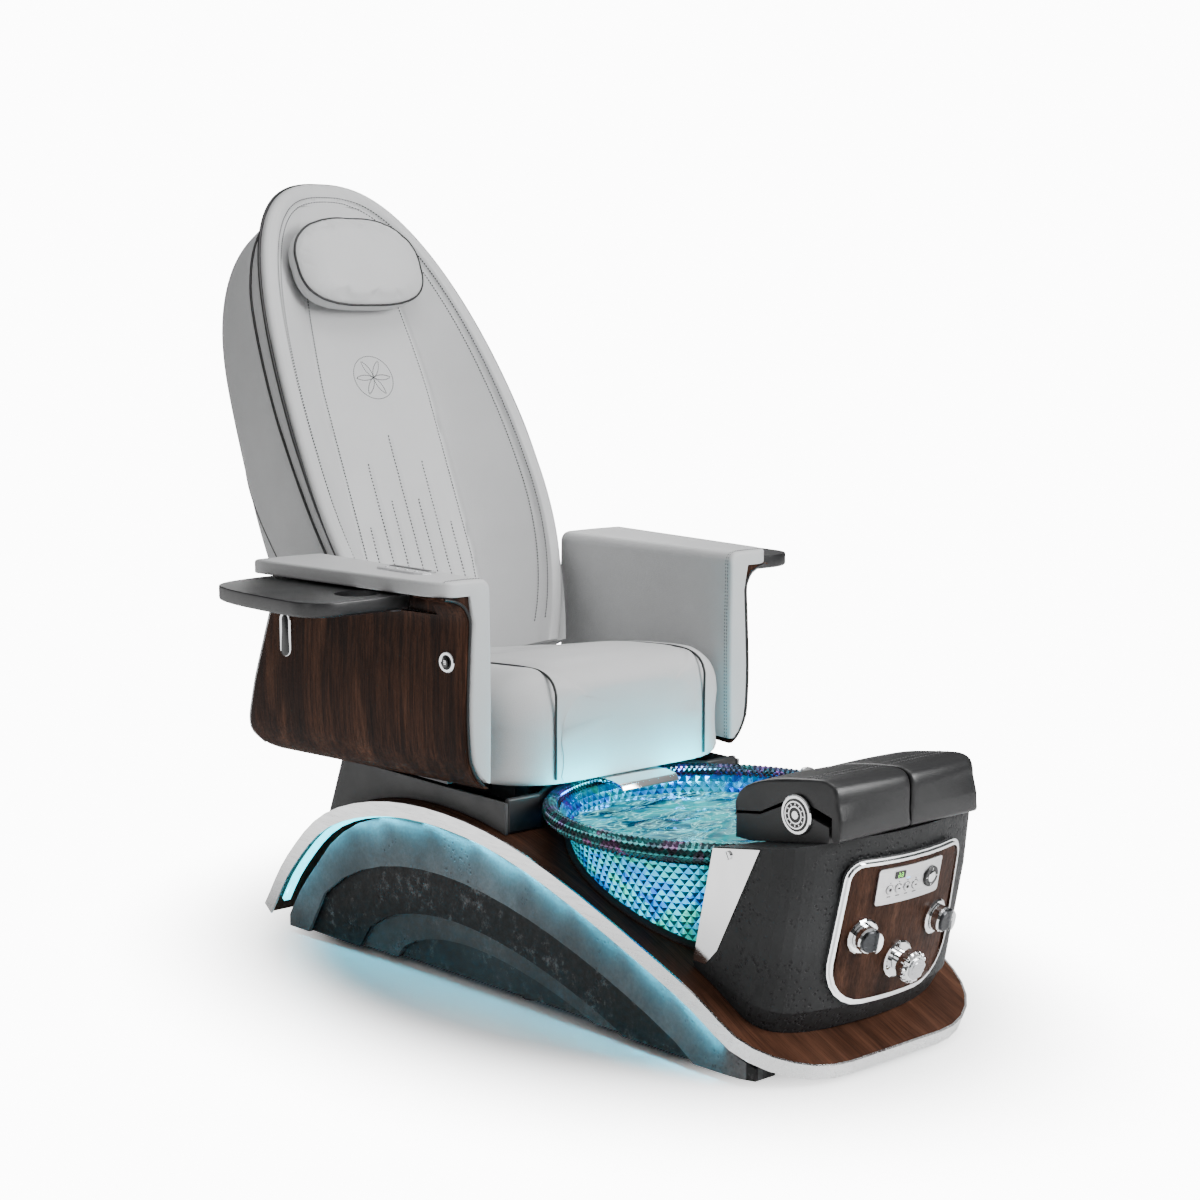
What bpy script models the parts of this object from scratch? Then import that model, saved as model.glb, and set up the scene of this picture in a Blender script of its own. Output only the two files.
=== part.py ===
"""Pedicure chair: arched base, glass foot bowl, control console, footrest and a powered seat.

Metres, +Z up. The sitter faces -Y, the sitter's left is +X and the floor is z = 0.
"""

import math

import bmesh
import bpy
import numpy as np
from mathutils import Matrix, Vector

for old in list(bpy.data.objects):
    bpy.data.objects.remove(old, do_unlink=True)

# Clearances
GAP = 0.0003
REST = 0.0008
RUN = 0.0009

# Deck: profile of its upper face from the rear foot to the front lip, as (y, z)
DECK_PROFILE = (
    (0.315, 0.045), (0.235, 0.160), (0.110, 0.267), (-0.080, 0.322), (-0.300, 0.322),
    (-0.520, 0.271), (-0.820, 0.153), (-0.950, 0.083), (-1.057, 0.035),
)
DECK_THICK = 0.024
DECK_HALF_REAR = 0.352
DECK_HALF_FRONT = 0.275
DECK_CORNER = 0.140
DECK_LIP_HALF = 0.110
BAND_WALL = 0.004
BAND_HIGH = 0.028

# Side panels, light strips and base frame
PANEL_IN = 0.010
PANEL_THICK = 0.045
PANEL_DROP = 0.034
PANEL_FOOT = 0.012
PANEL_STEP = 0.011
CRESCENTS = ((0.190, -0.870, 0.207), (0.045, -0.700, 0.121), (-0.055, -0.620, 0.078))
STRIP_HIGH = 0.008
RAIL_X = 0.170
RAIL_LOW = 0.030
RAIL_TOP = 0.070

# Pedestal and slide rails
COWL_HALF = 0.290
COWL_FRONT = -0.385
COWL_REAR = 0.272
COWL_REAR_TOP = 0.185
COWL_CORNER = 0.090
COWL_WALL = 0.006
COWL_TOP = 0.366
COVER_TOP = 0.3733
COVER_THICK = 0.012
SLIDE_X = 0.160
SLIDE_TOP = 0.362

# Bowl
BOWL_Y = -0.632
BOWL_LONG = 1.043
BOWL_BOTTOM = 0.125
BOWL_WALL = 0.007
BOWL_RIM = 0.301
RIM_Z = 0.362
RIM_BEAD = 0.009
BOWL_OUTER = (
    (0.125, 0.165), (0.135, 0.195), (0.160, 0.218), (0.200, 0.232),
    (0.250, 0.245), (0.300, 0.258), (0.340, 0.275), (0.352, 0.288),
)
FACET = 0.0015
FACET_COLUMNS = 40
DRAIN_HOLE = 0.026

# Console and its leaning control board: front line as (z, y), bowed in plan
CONSOLE_HALF = 0.231
CONSOLE_WALL = 0.007
CONSOLE_LID = 0.012
CONSOLE_PROFILE = ((0.062, -0.995), (0.115, -1.0287), (0.365, -1.0762), (0.410, -1.0735))
CONSOLE_BOW = 0.515
BOW_HALF = 0.140
LID_LOW = (-0.858, 0.372)
LID_RISE = 0.165
LID_HIGH = 0.4055
SKIRT_IN = 0.003
PLATE_THICK = 0.003
BOARD_Z = 0.243
BOARD_HALF_TOP = 0.139
BOARD_HALF_BOTTOM = 0.146
BOARD_HIGH = 0.258
BOARD_THICK = 0.006
FRAME_WIDE = 0.010
KEYPAD_Z = 0.3205
KEY_RADIUS = 0.0075
KEY_XS = (-0.048, -0.029, -0.0097, 0.0097)
KEY_TRAVEL = 0.0015
JET_X = 0.048
KNOB_X = 0.087
KNOB_Z = 0.239
DIVERTER_Z = 0.185
STEM = 0.009

# Footrest
PAD_GAP = 0.002
PAD_END = 0.167
HUB_Y = -0.984
HUB_Z = 0.439
HUB_RADIUS = 0.030
HINGE_Y = -1.0655
HINGE_Z = 0.4155
HINGE_ROLL = 0.0085
PIN_RADIUS = 0.003

# Hand spray
SPRAY_X = 0.030
SPRAY_Y = -0.815
SPRAY_STEM = 0.012

# Seat, arms and trays
SEAT_BOTTOM = 0.387
SEAT_HALF = 0.285
SEAT_FRONT = -0.397
SEAT_HIGH = 0.600
SEAT_PIPE = 0.185
ARM_GAP = 0.010
ARM_IN = SEAT_HALF + ARM_GAP
ARM_FRONT = -0.354
ARM_REAR = 0.169
ARM_TOP = 0.767
ARM_SLAB = 0.028
ARM_SPLAY = 0.154
WOOD = 0.010
TRAY_LOW = 0.708
TRAY_TOP = 0.735
TRAY_PIVOT = (ARM_IN + 0.100, -0.205)
CUP_HOLE = (ARM_IN + 0.157, -0.168)
CUP_RADIUS = 0.040

# Back, in its own frame: s runs up the back, n runs to the rear
BACK_Y = 0.181
BACK_Z = 0.537
BACK_TILT = math.radians(24)
BACK_HALF = ARM_IN - 0.004
BACK_TOP = 1.054
BACK_FOOT = -0.030
WING_DEPTH = 0.120
CUSHION_THICK = 0.045
SHELL_DEPTH = 0.190
SHELL_TOP = 1.000
SHELL_SWELL = 0.018
BACK_PLATE = 0.012
PIVOT_S = -0.060
PIVOT_N = 0.051
SHAFT = 0.009
KNUCKLE = 0.020


# Helpers that make shapes as points and faces

def loft(rings):
    """Skin over a row of rings with equally many points, capped at both ends."""
    size = len(rings[0])
    verts = [tuple(point) for ring in rings for point in ring]
    faces = []
    for row in range(len(rings) - 1):
        for i in range(size):
            j = (i + 1) % size
            low, high = row * size, (row + 1) * size
            faces.append((low + i, low + j, high + j, high + i))
    last = (len(rings) - 1) * size
    faces.append(tuple(reversed(range(size))))
    faces.append(tuple(last + i for i in range(size)))
    return verts, faces


def hoop(sections):
    """Skin over sections that go round in a closed loop."""
    size = len(sections[0])
    count = len(sections)
    verts = [tuple(point) for section in sections for point in section]
    faces = []
    for row in range(count):
        low, high = row * size, ((row + 1) % count) * size
        for i in range(size):
            j = (i + 1) % size
            faces.append((low + i, low + j, high + j, high + i))
    return verts, faces


def turned(profile, steps, place, wave=0.0, lobes=0):
    """Turn a profile of (radius, height) round local Z, with lobes if wanted."""
    verts, rows = [], []
    for radius, height in profile:
        if radius == 0:
            rows.append([len(verts)])
            verts.append(place @ Vector((0, 0, height)))
            continue
        rows.append(list(range(len(verts), len(verts) + steps)))
        for i in range(steps):
            turn = math.tau * i / steps
            reach = radius * (1 + (wave * math.cos(lobes * turn) if radius > STEM else 0))
            verts.append(place @ Vector((reach * math.cos(turn), reach * math.sin(turn), height)))
    pairs = list(zip(rows, rows[1:]))
    if profile[0][0] > 0:
        pairs.append((rows[-1], rows[0]))
    faces = []
    for low, high in pairs:
        for i in range(steps):
            j = (i + 1) % steps
            if len(low) == 1:
                faces.append((low[0], high[j], high[i]))
            elif len(high) == 1:
                faces.append((low[i], low[j], high[0]))
            else:
                faces.append((low[i], low[j], high[j], high[i]))
    return [tuple(point) for point in verts], faces


def rod(radius, start, end, steps=14):
    """A round bar between two points."""
    start, end = Vector(start), Vector(end)
    place = aim(start, end - start)
    length = (end - start).length
    return turned(((0, 0), (radius, 0), (radius, length), (0, length)), steps, place)


def aim(origin, along):
    """The matrix that puts local Z along a direction at a point."""
    turn = Vector(along).to_track_quat("Z", "Y").to_matrix().to_4x4()
    return Matrix.Translation(origin) @ turn


def block(low, high):
    """A box between two corners."""
    (x0, y0, z0), (x1, y1, z1) = low, high
    ring = ((x0, y0), (x1, y0), (x1, y1), (x0, y1))
    return loft([[(x, y, z0) for x, y in ring], [(x, y, z1) for x, y in ring]])


def slab_x(outline, x0, x1):
    """An outline in (y, z) drawn out along X."""
    return loft([[(x, y, z) for y, z in outline] for x in (x0, x1)])


def plate(outline, low, high, place):
    """An outline in local (x, y) drawn out along local Z."""
    return loft([[place @ Vector((u, v, n)) for u, v in outline] for n in (low, high)])


def mirrored(shape):
    verts, faces = shape
    return [(-x, y, z) for x, y, z in verts], [tuple(reversed(face)) for face in faces]


def rounded(half_u, half_v, radius, steps=5):
    """The outline of a rectangle with round corners."""
    outline = []
    for sign_u, sign_v, start in ((1, 1, 0), (-1, 1, 90), (-1, -1, 180), (1, -1, 270)):
        for k in range(steps + 1):
            turn = math.radians(start + 90 * k / steps)
            outline.append((
                sign_u * (half_u - radius) + radius * math.cos(turn),
                sign_v * (half_v - radius) + radius * math.sin(turn),
            ))
    return outline


def softened(outline, times=2):
    """Corner cutting, which rounds an outline."""
    for _ in range(times):
        cut_points = []
        for (x0, y0), (x1, y1) in zip(outline, outline[1:] + outline[:1]):
            cut_points.append((0.75 * x0 + 0.25 * x1, 0.75 * y0 + 0.25 * y1))
            cut_points.append((0.25 * x0 + 0.75 * x1, 0.25 * y0 + 0.75 * y1))
        outline = cut_points
    return outline


def smooth_path(points, steps):
    """A smooth path through points."""
    points = [np.array(p, float) for p in points]
    points = [2 * points[0] - points[1], *points, 2 * points[-1] - points[-2]]
    path = []
    for a, b, c, d in zip(points, points[1:], points[2:], points[3:]):
        for t in np.arange(steps) / steps:
            bend = 2 * a - 5 * b + 4 * c - d
            twist = 3 * b - a - 3 * c + d
            path.append(0.5 * (2 * b + (c - a) * t + bend * t**2 + twist * t**3))
    path.append(points[-2])
    return np.array(path)


# Helpers that make objects

def finish(name, colour, roughness, metallic=0.0):
    material = bpy.data.materials.new(name)
    material.use_nodes = True
    shader = material.node_tree.nodes["Principled BSDF"]
    shader.inputs["Base Color"].default_value = (*colour, 1)
    shader.inputs["Roughness"].default_value = roughness
    shader.inputs["Metallic"].default_value = metallic
    return material


def made(name, shape, pivot):
    pivot = Vector(pivot)
    mesh = bpy.data.meshes.new(name)
    mesh.from_pydata([Vector(point) - pivot for point in shape[0]], [], shape[1])
    work = bmesh.new()
    work.from_mesh(mesh)
    bmesh.ops.remove_doubles(work, verts=work.verts, dist=1e-6)
    bmesh.ops.triangulate(work, faces=work.faces)
    bmesh.ops.recalc_face_normals(work, faces=work.faces)
    work.to_mesh(mesh)
    work.free()
    mesh.shade_smooth()
    mesh.set_sharp_from_angle(angle=math.radians(32))
    thing = bpy.data.objects.new(name, mesh)
    thing.location = pivot
    bpy.context.collection.objects.link(thing)
    return thing


def piece(name, shape, look, pivot=(0, 0, 0)):
    """One node, with its origin on its joint if it moves."""
    thing = made(name, shape, pivot)
    thing.data.materials.append(look)
    return thing


def change(thing, operation, shapes):
    for number, shape in enumerate(shapes):
        tool = made(f"{thing.name}_{operation.lower()}_{number}", shape, (0, 0, 0))
        tool.hide_render = True
        tool.display_type = "WIRE"
        step = thing.modifiers.new(operation, "BOOLEAN")
        step.operation = operation
        step.solver = "EXACT"
        step.object = tool


def cut(thing, *shapes):
    change(thing, "DIFFERENCE", shapes)


def join(thing, *shapes):
    change(thing, "UNION", shapes)


LEATHER = finish("light_grey_leather", (0.60, 0.61, 0.62), 0.48)
BLACK_LEATHER = finish("black_leather", (0.022, 0.023, 0.025), 0.42)
WALNUT = finish("walnut", (0.085, 0.045, 0.030), 0.42)
CONCRETE = finish("dark_concrete", (0.055, 0.058, 0.062), 0.50)
GREY_COWL = finish("grey_cowl", (0.10, 0.105, 0.115), 0.55)
BLACK = finish("black_plastic", (0.014, 0.015, 0.017), 0.38)
RUBBER = finish("black_rubber", (0.018, 0.018, 0.018), 0.75)
CHROME = finish("chrome", (0.82, 0.83, 0.84), 0.08, 1.0)
BRUSHED = finish("brushed_metal", (0.72, 0.73, 0.75), 0.30, 1.0)
SILVER = finish("silver_panel", (0.66, 0.67, 0.69), 0.35, 0.6)
STEEL = finish("painted_steel", (0.11, 0.11, 0.12), 0.50, 0.4)
LIGHT = finish("light_strip", (0.45, 0.92, 0.95), 0.30)
GLASS = finish("blue_glass", (0.10, 0.42, 0.62), 0.06)

# Deck: a walnut board on the arched profile, with a metal band round its edge
deck_fine = smooth_path(DECK_PROFILE, 24)
deck_slope = np.gradient(deck_fine, axis=0)
deck_slope /= np.linalg.norm(deck_slope, axis=1)[:, None]
deck_up = np.column_stack((deck_slope[:, 1], -deck_slope[:, 0]))
DECK_FRONT = DECK_PROFILE[-1][0]
CORNER_Y = DECK_FRONT + DECK_CORNER


def along_deck(y, depth):
    """The point this far below the deck's face, square to it."""
    spot = [np.interp(-y, -deck_fine[:, 0], part) for part in (*deck_fine.T, *deck_up.T)]
    return spot[0] - depth * spot[2], spot[1] - depth * spot[3]


def side_half(y):
    return DECK_HALF_REAR + (0.2 - y) * (DECK_HALF_FRONT - DECK_HALF_REAR) / 1.1


def deck_stations(inset=0.0):
    """Pairs of y and half width from the rear foot to the front lip."""
    rows = [(y, side_half(y) - inset) for y, _ in smooth_path(DECK_PROFILE, 4) if y > CORNER_Y]
    wide = side_half(CORNER_Y) - inset - DECK_LIP_HALF
    for turn in np.radians(np.linspace(0, 90, 8)):
        y = CORNER_Y - (DECK_CORNER - inset) * math.sin(turn)
        rows.append((y, DECK_LIP_HALF + wide * math.cos(turn)))
    return rows


DECK_ROWS = deck_stations()
deck_edge = np.array([along_deck(y, 0) for y, _ in DECK_ROWS])


def deck_z(y):
    return float(np.interp(-y, -deck_edge[:, 0], deck_edge[:, 1]))


def deck_half(y):
    return float(np.interp(-y, [-row[0] for row in DECK_ROWS], [row[1] for row in DECK_ROWS]))


def deck_strip(inset, top, bottom, past=0.0):
    rings = []
    for y, half in deck_stations(inset):
        upper, lower = along_deck(y, top), along_deck(y, bottom)
        rings.append([(-half, *upper), (half, *upper), (half, *lower), (-half, *lower)])
    if past:
        shift = Vector(rings[0][0]) - Vector(rings[1][0])
        shift = Vector((0, shift.y, shift.z)).normalized() * past
        rings.insert(0, [Vector(point) + shift for point in rings[0]])
    return loft(rings)


def bowl_reach(z):
    return float(np.interp(z, [row[0] for row in BOWL_OUTER], [row[1] for row in BOWL_OUTER]))


def bowl_loop(lift, offset, steps=FACET_COLUMNS):
    """Where the bowl's wall meets a surface this far above the deck, as (x, y)."""
    loop = []
    for turn in np.arange(steps) * math.tau / steps:
        reach = 0.24
        for _ in range(30):
            z = deck_z(BOWL_Y + BOWL_LONG * reach * math.sin(turn)) + lift
            reach = 0.5 * (reach + bowl_reach(z))
        reach += offset
        loop.append((reach * math.cos(turn), BOWL_Y + BOWL_LONG * reach * math.sin(turn)))
    return loop


hole = bowl_loop(0, 0.003)
bowl_clear = loft([[(x, y, z) for x, y in hole] for z in (0.02, 0.50)])
deck = piece("deck", deck_strip(BAND_WALL + GAP, 0, DECK_THICK), WALNUT)
cut(deck, bowl_clear)
band = piece("deck_band", deck_strip(0, 0, BAND_HIGH), BRUSHED)
cut(band, deck_strip(BAND_WALL, -0.02, BAND_HIGH + 0.03, past=0.06))

# Side panels: concrete-look walls under the deck, each stepped in by three crescents
PANEL_REAR, PANEL_NOSE = 0.245, -0.975
panel_rows = [y for y, _ in smooth_path(DECK_PROFILE, 4) if PANEL_NOSE < y < PANEL_REAR]
panel_rows = [PANEL_REAR, *panel_rows, PANEL_NOSE]
drops = [PANEL_DROP + 0.03 * np.clip(y / 0.2, 0, 1) for y, _ in deck_fine]
panel_top = np.array([along_deck(y, drop) for (y, _), drop in zip(deck_fine, drops)])


def panel_ring(y, x_out, x_in, top, foot):
    return [(x_out, y, foot), (x_out, y, top), (x_in, y, top), (x_in, y, foot)]


def crescent(rear, front, height, depth):
    rings = []
    for y in np.linspace(rear, front, 19):
        share = min(1, max(0, (rear - y) / (rear - front)))
        top = height * max(0, math.sin(math.pi * share**0.697)) ** 0.8
        face = deck_half(y) - PANEL_IN
        rings.append(panel_ring(y, face + 0.05, face - depth, top, -0.02))
    return loft(rings)


panel_rings = []
for y in panel_rows:
    face = deck_half(y) - PANEL_IN
    top = float(np.interp(-y, -panel_top[:, 0], panel_top[:, 1]))
    panel_rings.append(panel_ring(y, face, face - PANEL_THICK, top, PANEL_FOOT))
side_panel = loft(panel_rings)
steps_in = [crescent(*size, PANEL_STEP * (k + 1)) for k, size in enumerate(CRESCENTS)]
cut(piece("side_panel_left", side_panel, CONCRETE), *steps_in)
cut(piece("side_panel_right", mirrored(side_panel), CONCRETE), *map(mirrored, steps_in))

# Light strips: a translucent bar under each long edge of the deck
strip_rings = []
for y, half in DECK_ROWS:
    if not -0.90 < y < 0.300:
        continue
    upper = along_deck(y, DECK_THICK + GAP)
    lower = along_deck(y, DECK_THICK + GAP + STRIP_HIGH)
    strip_rings.append([
        (half - 0.030, *upper), (half - 0.016, *upper), (half - 0.016, *lower), (half - 0.030, *lower),
    ])
light_strip = loft(strip_rings)
piece("light_strip_left", light_strip, LIGHT)
piece("light_strip_right", mirrored(light_strip), LIGHT)


# Base frame: welded rails, cross members, posts to the deck and fused feet
def deck_under(y):
    offset = np.array([along_deck(row, DECK_THICK) for row, _ in DECK_ROWS])
    return float(np.interp(-y, -offset[:, 0], offset[:, 1])) - GAP


def post(x, y, half, foot, top):
    corners = ((x - half, y - half), (x + half, y - half), (x + half, y + half), (x - half, y + half))
    return loft([[(a, b, foot) for a, b in corners], [(a, b, top(b)) for a, b in corners]])


def member(y, wide=0.020):
    reach = min(deck_half(y - wide), deck_half(y + wide)) - PANEL_IN - PANEL_THICK - GAP
    return block((-reach, y - wide, RAIL_LOW), (reach, y + wide, RAIL_TOP - 0.004))


frame = piece("base_frame", member(0.0), STEEL)
for side in (-1, 1):
    x = side * RAIL_X
    join(frame, block((x - 0.020, -0.885, RAIL_LOW + 0.003), (x + 0.020, 0.215, RAIL_TOP)))
join(frame, *(member(y) for y in (0.190, -0.390, BOWL_Y, -0.860)))
for side in (-1, 1):
    join(
        frame,
        post(side * RAIL_X, 0.060, 0.018, RAIL_TOP - 0.01, deck_under),
        post(side * RAIL_X, -0.190, 0.018, RAIL_TOP - 0.01, deck_under),
        post(side * 0.110, BOWL_Y, 0.017, RAIL_TOP - 0.02, lambda y: BOWL_BOTTOM - GAP),
        rod(0.0235, (side * 0.262, 0.190, 0), (side * 0.262, 0.190, RAIL_LOW + 0.006)),
        rod(0.0235, (side * 0.228, -0.390, 0), (side * 0.228, -0.390, RAIL_LOW + 0.006)),
        rod(0.0235, (side * RAIL_X, -0.860, 0), (side * RAIL_X, -0.860, RAIL_LOW + 0.006)),
    )
join(frame, rod(0.030, (0, 0, 0), (0, 0, RAIL_LOW + 0.006), 20))

# Pedestal: leaning cowl on the deck, front cover behind the bowl, inner frame with slide rails
squeeze = (COWL_REAR_TOP - COWL_FRONT) / (COWL_REAR - COWL_FRONT)


def cowl_path():
    """Half of the cowl in plan, as point and outward direction."""
    path = [(COWL_HALF, y, 1, 0) for y in np.linspace(COWL_FRONT, COWL_REAR - COWL_CORNER, 22)]
    centre = (COWL_HALF - COWL_CORNER, COWL_REAR - COWL_CORNER)
    for turn in np.radians(np.linspace(0, 90, 12)[1:]):
        out = (math.cos(turn), math.sin(turn))
        path.append((centre[0] + COWL_CORNER * out[0], centre[1] + COWL_CORNER * out[1], *out))
    return path


half_path = cowl_path()
whole_path = half_path + [(-x, y, -nx, ny) for x, y, nx, ny in reversed(half_path)]
cowl_rings = []
for x, y, nx, ny in whole_path:
    ring = []
    for depth, top in ((0, False), (0, True), (COWL_WALL, True), (COWL_WALL, False)):
        px, py = x - depth * nx, y - depth * ny
        if top:
            ring.append((px, COWL_FRONT + (y - COWL_FRONT) * squeeze - depth * ny, COWL_TOP))
        else:
            ring.append((px, py, deck_z(py) + 1.5 * REST))
    cowl_rings.append(ring)
piece("pedestal_cowl", loft(cowl_rings), GREY_COWL)


def cover_y(x):
    """The cover's front face, hollowed round the bowl's rim."""
    reach_x, reach_y = BOWL_RIM + RIM_BEAD + 0.005, BOWL_RIM * BOWL_LONG + RIM_BEAD + 0.005
    return max(COWL_FRONT, BOWL_Y + reach_y * math.sqrt(max(0, 1 - (x / reach_x) ** 2)))


cover_rings = []
cover_half = COWL_HALF - COWL_WALL - REST
for x in np.linspace(-cover_half, cover_half, 31):
    y = cover_y(x)
    back = y + COVER_THICK
    cover_rings.append([
        (x, y, deck_z(y) + REST), (x, y, COVER_TOP), (x, back, COVER_TOP), (x, back, deck_z(back) + REST),
    ])
piece("pedestal_front", loft(cover_rings), BLACK)

bed = piece(
    "pedestal_frame", block((-SLIDE_X - 0.016, 0.030, 0.3330), (SLIDE_X + 0.016, 0.066, 0.3420)), STEEL
)
join(bed, block((-SLIDE_X - 0.016, -0.258, 0.3330), (SLIDE_X + 0.016, -0.222, 0.3420)))
for side in (-1, 1):
    x = side * SLIDE_X
    join(bed, block((x - 0.017, -0.270, 0.3315), (x + 0.017, 0.085, SLIDE_TOP)))
    foot = post(x, 0.048, 0.014, 0.350, lambda y: deck_z(y) + REST)
    join(bed, foot, post(x, -0.240, 0.014, 0.350, lambda y: deck_z(y) + REST))

# Bowl: faceted glass with a rolled rim, on its gasket, with a drain in its floor
bowl_rows = [(BOWL_BOTTOM, DRAIN_HOLE), (BOWL_BOTTOM, bowl_reach(BOWL_BOTTOM) - 0.02)]
bowl_rows += [(BOWL_BOTTOM, bowl_reach(BOWL_BOTTOM))]
facet_rows = [0.135, 0.157, 0.179, 0.201, 0.223, 0.245, 0.267, 0.289, 0.311, 0.332]
for number, z in enumerate(facet_rows):
    bowl_rows.append((z, bowl_reach(z) + FACET * (-1) ** number))
bowl_rows.append((0.350, bowl_reach(0.350)))
for turn in np.radians((-50, 10, 60, 110, 170)):
    bowl_rows.append((RIM_Z + RIM_BEAD * math.sin(turn), BOWL_RIM + RIM_BEAD * math.cos(turn)))
for z in (0.340, 0.290, 0.220, 0.165, 0.143):
    bowl_rows.append((z, bowl_reach(z) - BOWL_WALL))
bowl_rows += [(BOWL_BOTTOM + BOWL_WALL, 0.172), (BOWL_BOTTOM + BOWL_WALL, DRAIN_HOLE)]


def bowl_ring(z, reach, shift):
    ring = []
    for i in range(FACET_COLUMNS):
        turn = math.tau * (i + shift) / FACET_COLUMNS
        ring.append((reach * math.cos(turn), BOWL_Y + BOWL_LONG * reach * math.sin(turn), z))
    return ring


bowl_points, bowl_faces = [], []
for number, (z, reach) in enumerate(bowl_rows):
    bowl_points += bowl_ring(z, reach, 0.5 * (number % 2))
for row in range(len(bowl_rows)):
    after = (row + 1) % len(bowl_rows)
    ahead = 1 if row % 2 == 0 and after % 2 == 1 else 0
    for i in range(FACET_COLUMNS):
        j = (i + 1) % FACET_COLUMNS
        a, b = row * FACET_COLUMNS + i, row * FACET_COLUMNS + j
        c, d = after * FACET_COLUMNS + i, after * FACET_COLUMNS + j
        if row % 2 == after % 2:
            bowl_faces += [(a, b, d), (a, d, c)]
        elif ahead:
            bowl_faces += [(a, b, c), (b, d, c)]
        else:
            bowl_faces += [(a, b, d), (a, d, c)]
piece("bowl", (bowl_points, bowl_faces), GLASS)

gasket_in = bowl_loop(0.008, 0.0028)
gasket_out = bowl_loop(0.008, 0.0128)
gasket = []
for (x0, y0), (x1, y1) in zip(gasket_in, gasket_out):
    gasket.append([
        (x0, y0, deck_z(y0) + REST), (x1, y1, deck_z(y1) + REST),
        (x1, y1, deck_z(y1) + 0.005), (x0, y0, deck_z(y0) + 0.008),
    ])
piece("bowl_gasket", hoop(gasket), RUBBER)

floor_z = BOWL_BOTTOM + BOWL_WALL
drain = turned(
    (
        (0, 0.082), (0.020, 0.082), (DRAIN_HOLE - REST, 0.090), (DRAIN_HOLE - REST, floor_z + GAP),
        (0.036, floor_z + GAP), (0.034, floor_z + 0.004), (0.012, floor_z + 0.005), (0, floor_z + 0.003),
    ),
    18, Matrix.Translation((0, BOWL_Y, 0)),
)
piece("bowl_drain", drain, CHROME)

spout_low = COVER_TOP + GAP
spout_side = [
    (-0.285, spout_low), (-0.285, spout_low + 0.011), (-0.420, spout_low + 0.010),
    (-0.444, spout_low + 0.006), (-0.452, spout_low - 0.006), (-0.447, spout_low - 0.008),
    (-0.436, spout_low - 0.001), (-0.420, spout_low),
]
piece("waterfall_spout", slab_x(spout_side, -0.070, 0.070), CHROME)


# Console: bowed, leaning housing round the front of the bowl, on a recessed skirt
def console_front(z):
    heights, depths = zip(*CONSOLE_PROFILE)
    return float(np.interp(z, heights, depths))


def console_rear(z):
    return -0.808 - (z - 0.158) * 0.2286


def console_top(y):
    return min(LID_HIGH, LID_LOW[1] + (LID_LOW[0] - y) * LID_RISE)


def bow(x, radius):
    return radius - math.sqrt(radius**2 - x**2)


def console_plan(z, inset, past):
    """The plan at one height: straight sides, round corners and a bowed front."""
    half, radius = CONSOLE_HALF - inset, CONSOLE_BOW - inset
    front = console_front(z) + inset
    rear = console_rear(z) + past
    corner = front + np.interp(z, (0.062, 0.405), (0.125, 0.107)) - inset
    turn_y = front + bow(BOW_HALF, radius)
    slope = BOW_HALF / radius
    reach = half - BOW_HALF
    ends = [(half, corner), (half, corner - 0.68 * (corner - turn_y))]
    ends += [(BOW_HALF + 0.60 * reach, turn_y + 0.60 * reach * slope), (BOW_HALF, turn_y)]
    points = [(half, rear), (half, 0.5 * (rear + corner))]
    for t in np.linspace(0, 1, 8):
        weights = ((1 - t) ** 3, 3 * t * (1 - t) ** 2, 3 * t**2 * (1 - t), t**3)
        points.append(tuple(sum(w * p[k] for w, p in zip(weights, ends)) for k in (0, 1)))
    for share in (0.7, 0.35, 0):
        points.append((BOW_HALF * share, front + bow(BOW_HALF * share, radius)))
    return points + [(-x, y) for x, y in reversed(points[:-1])]


def skirt_top(y):
    return float(np.interp(y, (-0.99, -0.81), (0.115, 0.165)))


def hull(inset, low, high, past=0.0, levels=4):
    """A closed solid between two heights that may vary with y."""
    count = len(console_plan(0.2, inset, past))
    rings = []
    for share in np.linspace(0, 1, levels):
        ring = []
        for i in range(count):
            z = 0.12
            for _ in range(6):
                y = console_plan(z, inset, past)[i][1]
                z = low(y) + share * (high(y) - low(y))
            ring.append((*console_plan(z, inset, past)[i], z))
        rings.append(ring)
    return loft(rings)


(low_z, low_y), (high_z, high_y) = CONSOLE_PROFILE[1:3]
lean = math.atan((low_y - high_y) / (high_z - low_z))
board_up = Vector((0, -math.sin(lean), math.cos(lean)))
board_out = Vector((0, -math.cos(lean), -math.sin(lean)))
BOARD = Matrix((
    (1, 0, 0, 0),
    (0, board_up.y, board_out.y, console_front(BOARD_Z)),
    (0, board_up.z, board_out.z, BOARD_Z),
    (0, 0, 0, 1),
))
BOARD_BOW = CONSOLE_BOW / math.cos(lean)
BOARD_LOW = GAP + 0.0005
BOARD_FACE = BOARD_LOW + BOARD_THICK


def board_at(u, v, n):
    """A frame on the bowed board, with local Z square to its face."""
    turn = Matrix.Rotation(u / BOARD_BOW, 4, "Y")
    return BOARD @ Matrix.Translation((0, v, -BOARD_BOW)) @ turn @ Matrix.Translation((0, 0, BOARD_BOW + n))


def bowed_plate(outline, low, high, steps):
    """A plate of this outline that follows the bowed board."""
    top = sorted(p for p in outline if p[1] >= sum(q[1] for q in outline) / len(outline))
    bottom = sorted(p for p in outline if p not in top)
    edge = min(max(p[0] for p in top), max(p[0] for p in bottom)) - 0.0002
    rings = []
    for turn in np.linspace(-1, 1, steps):
        u = edge * math.sin(turn * math.pi / 2)
        v1 = float(np.interp(u, *zip(*top)))
        v0 = float(np.interp(u, *zip(*bottom)))
        rings.append([
            board_at(u, v, n).translation for v, n in ((v0, low), (v1, low), (v1, high), (v0, high))
        ])
    return loft(rings)


def board_v(z):
    return (z - BOARD_Z) / board_up.z


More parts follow.
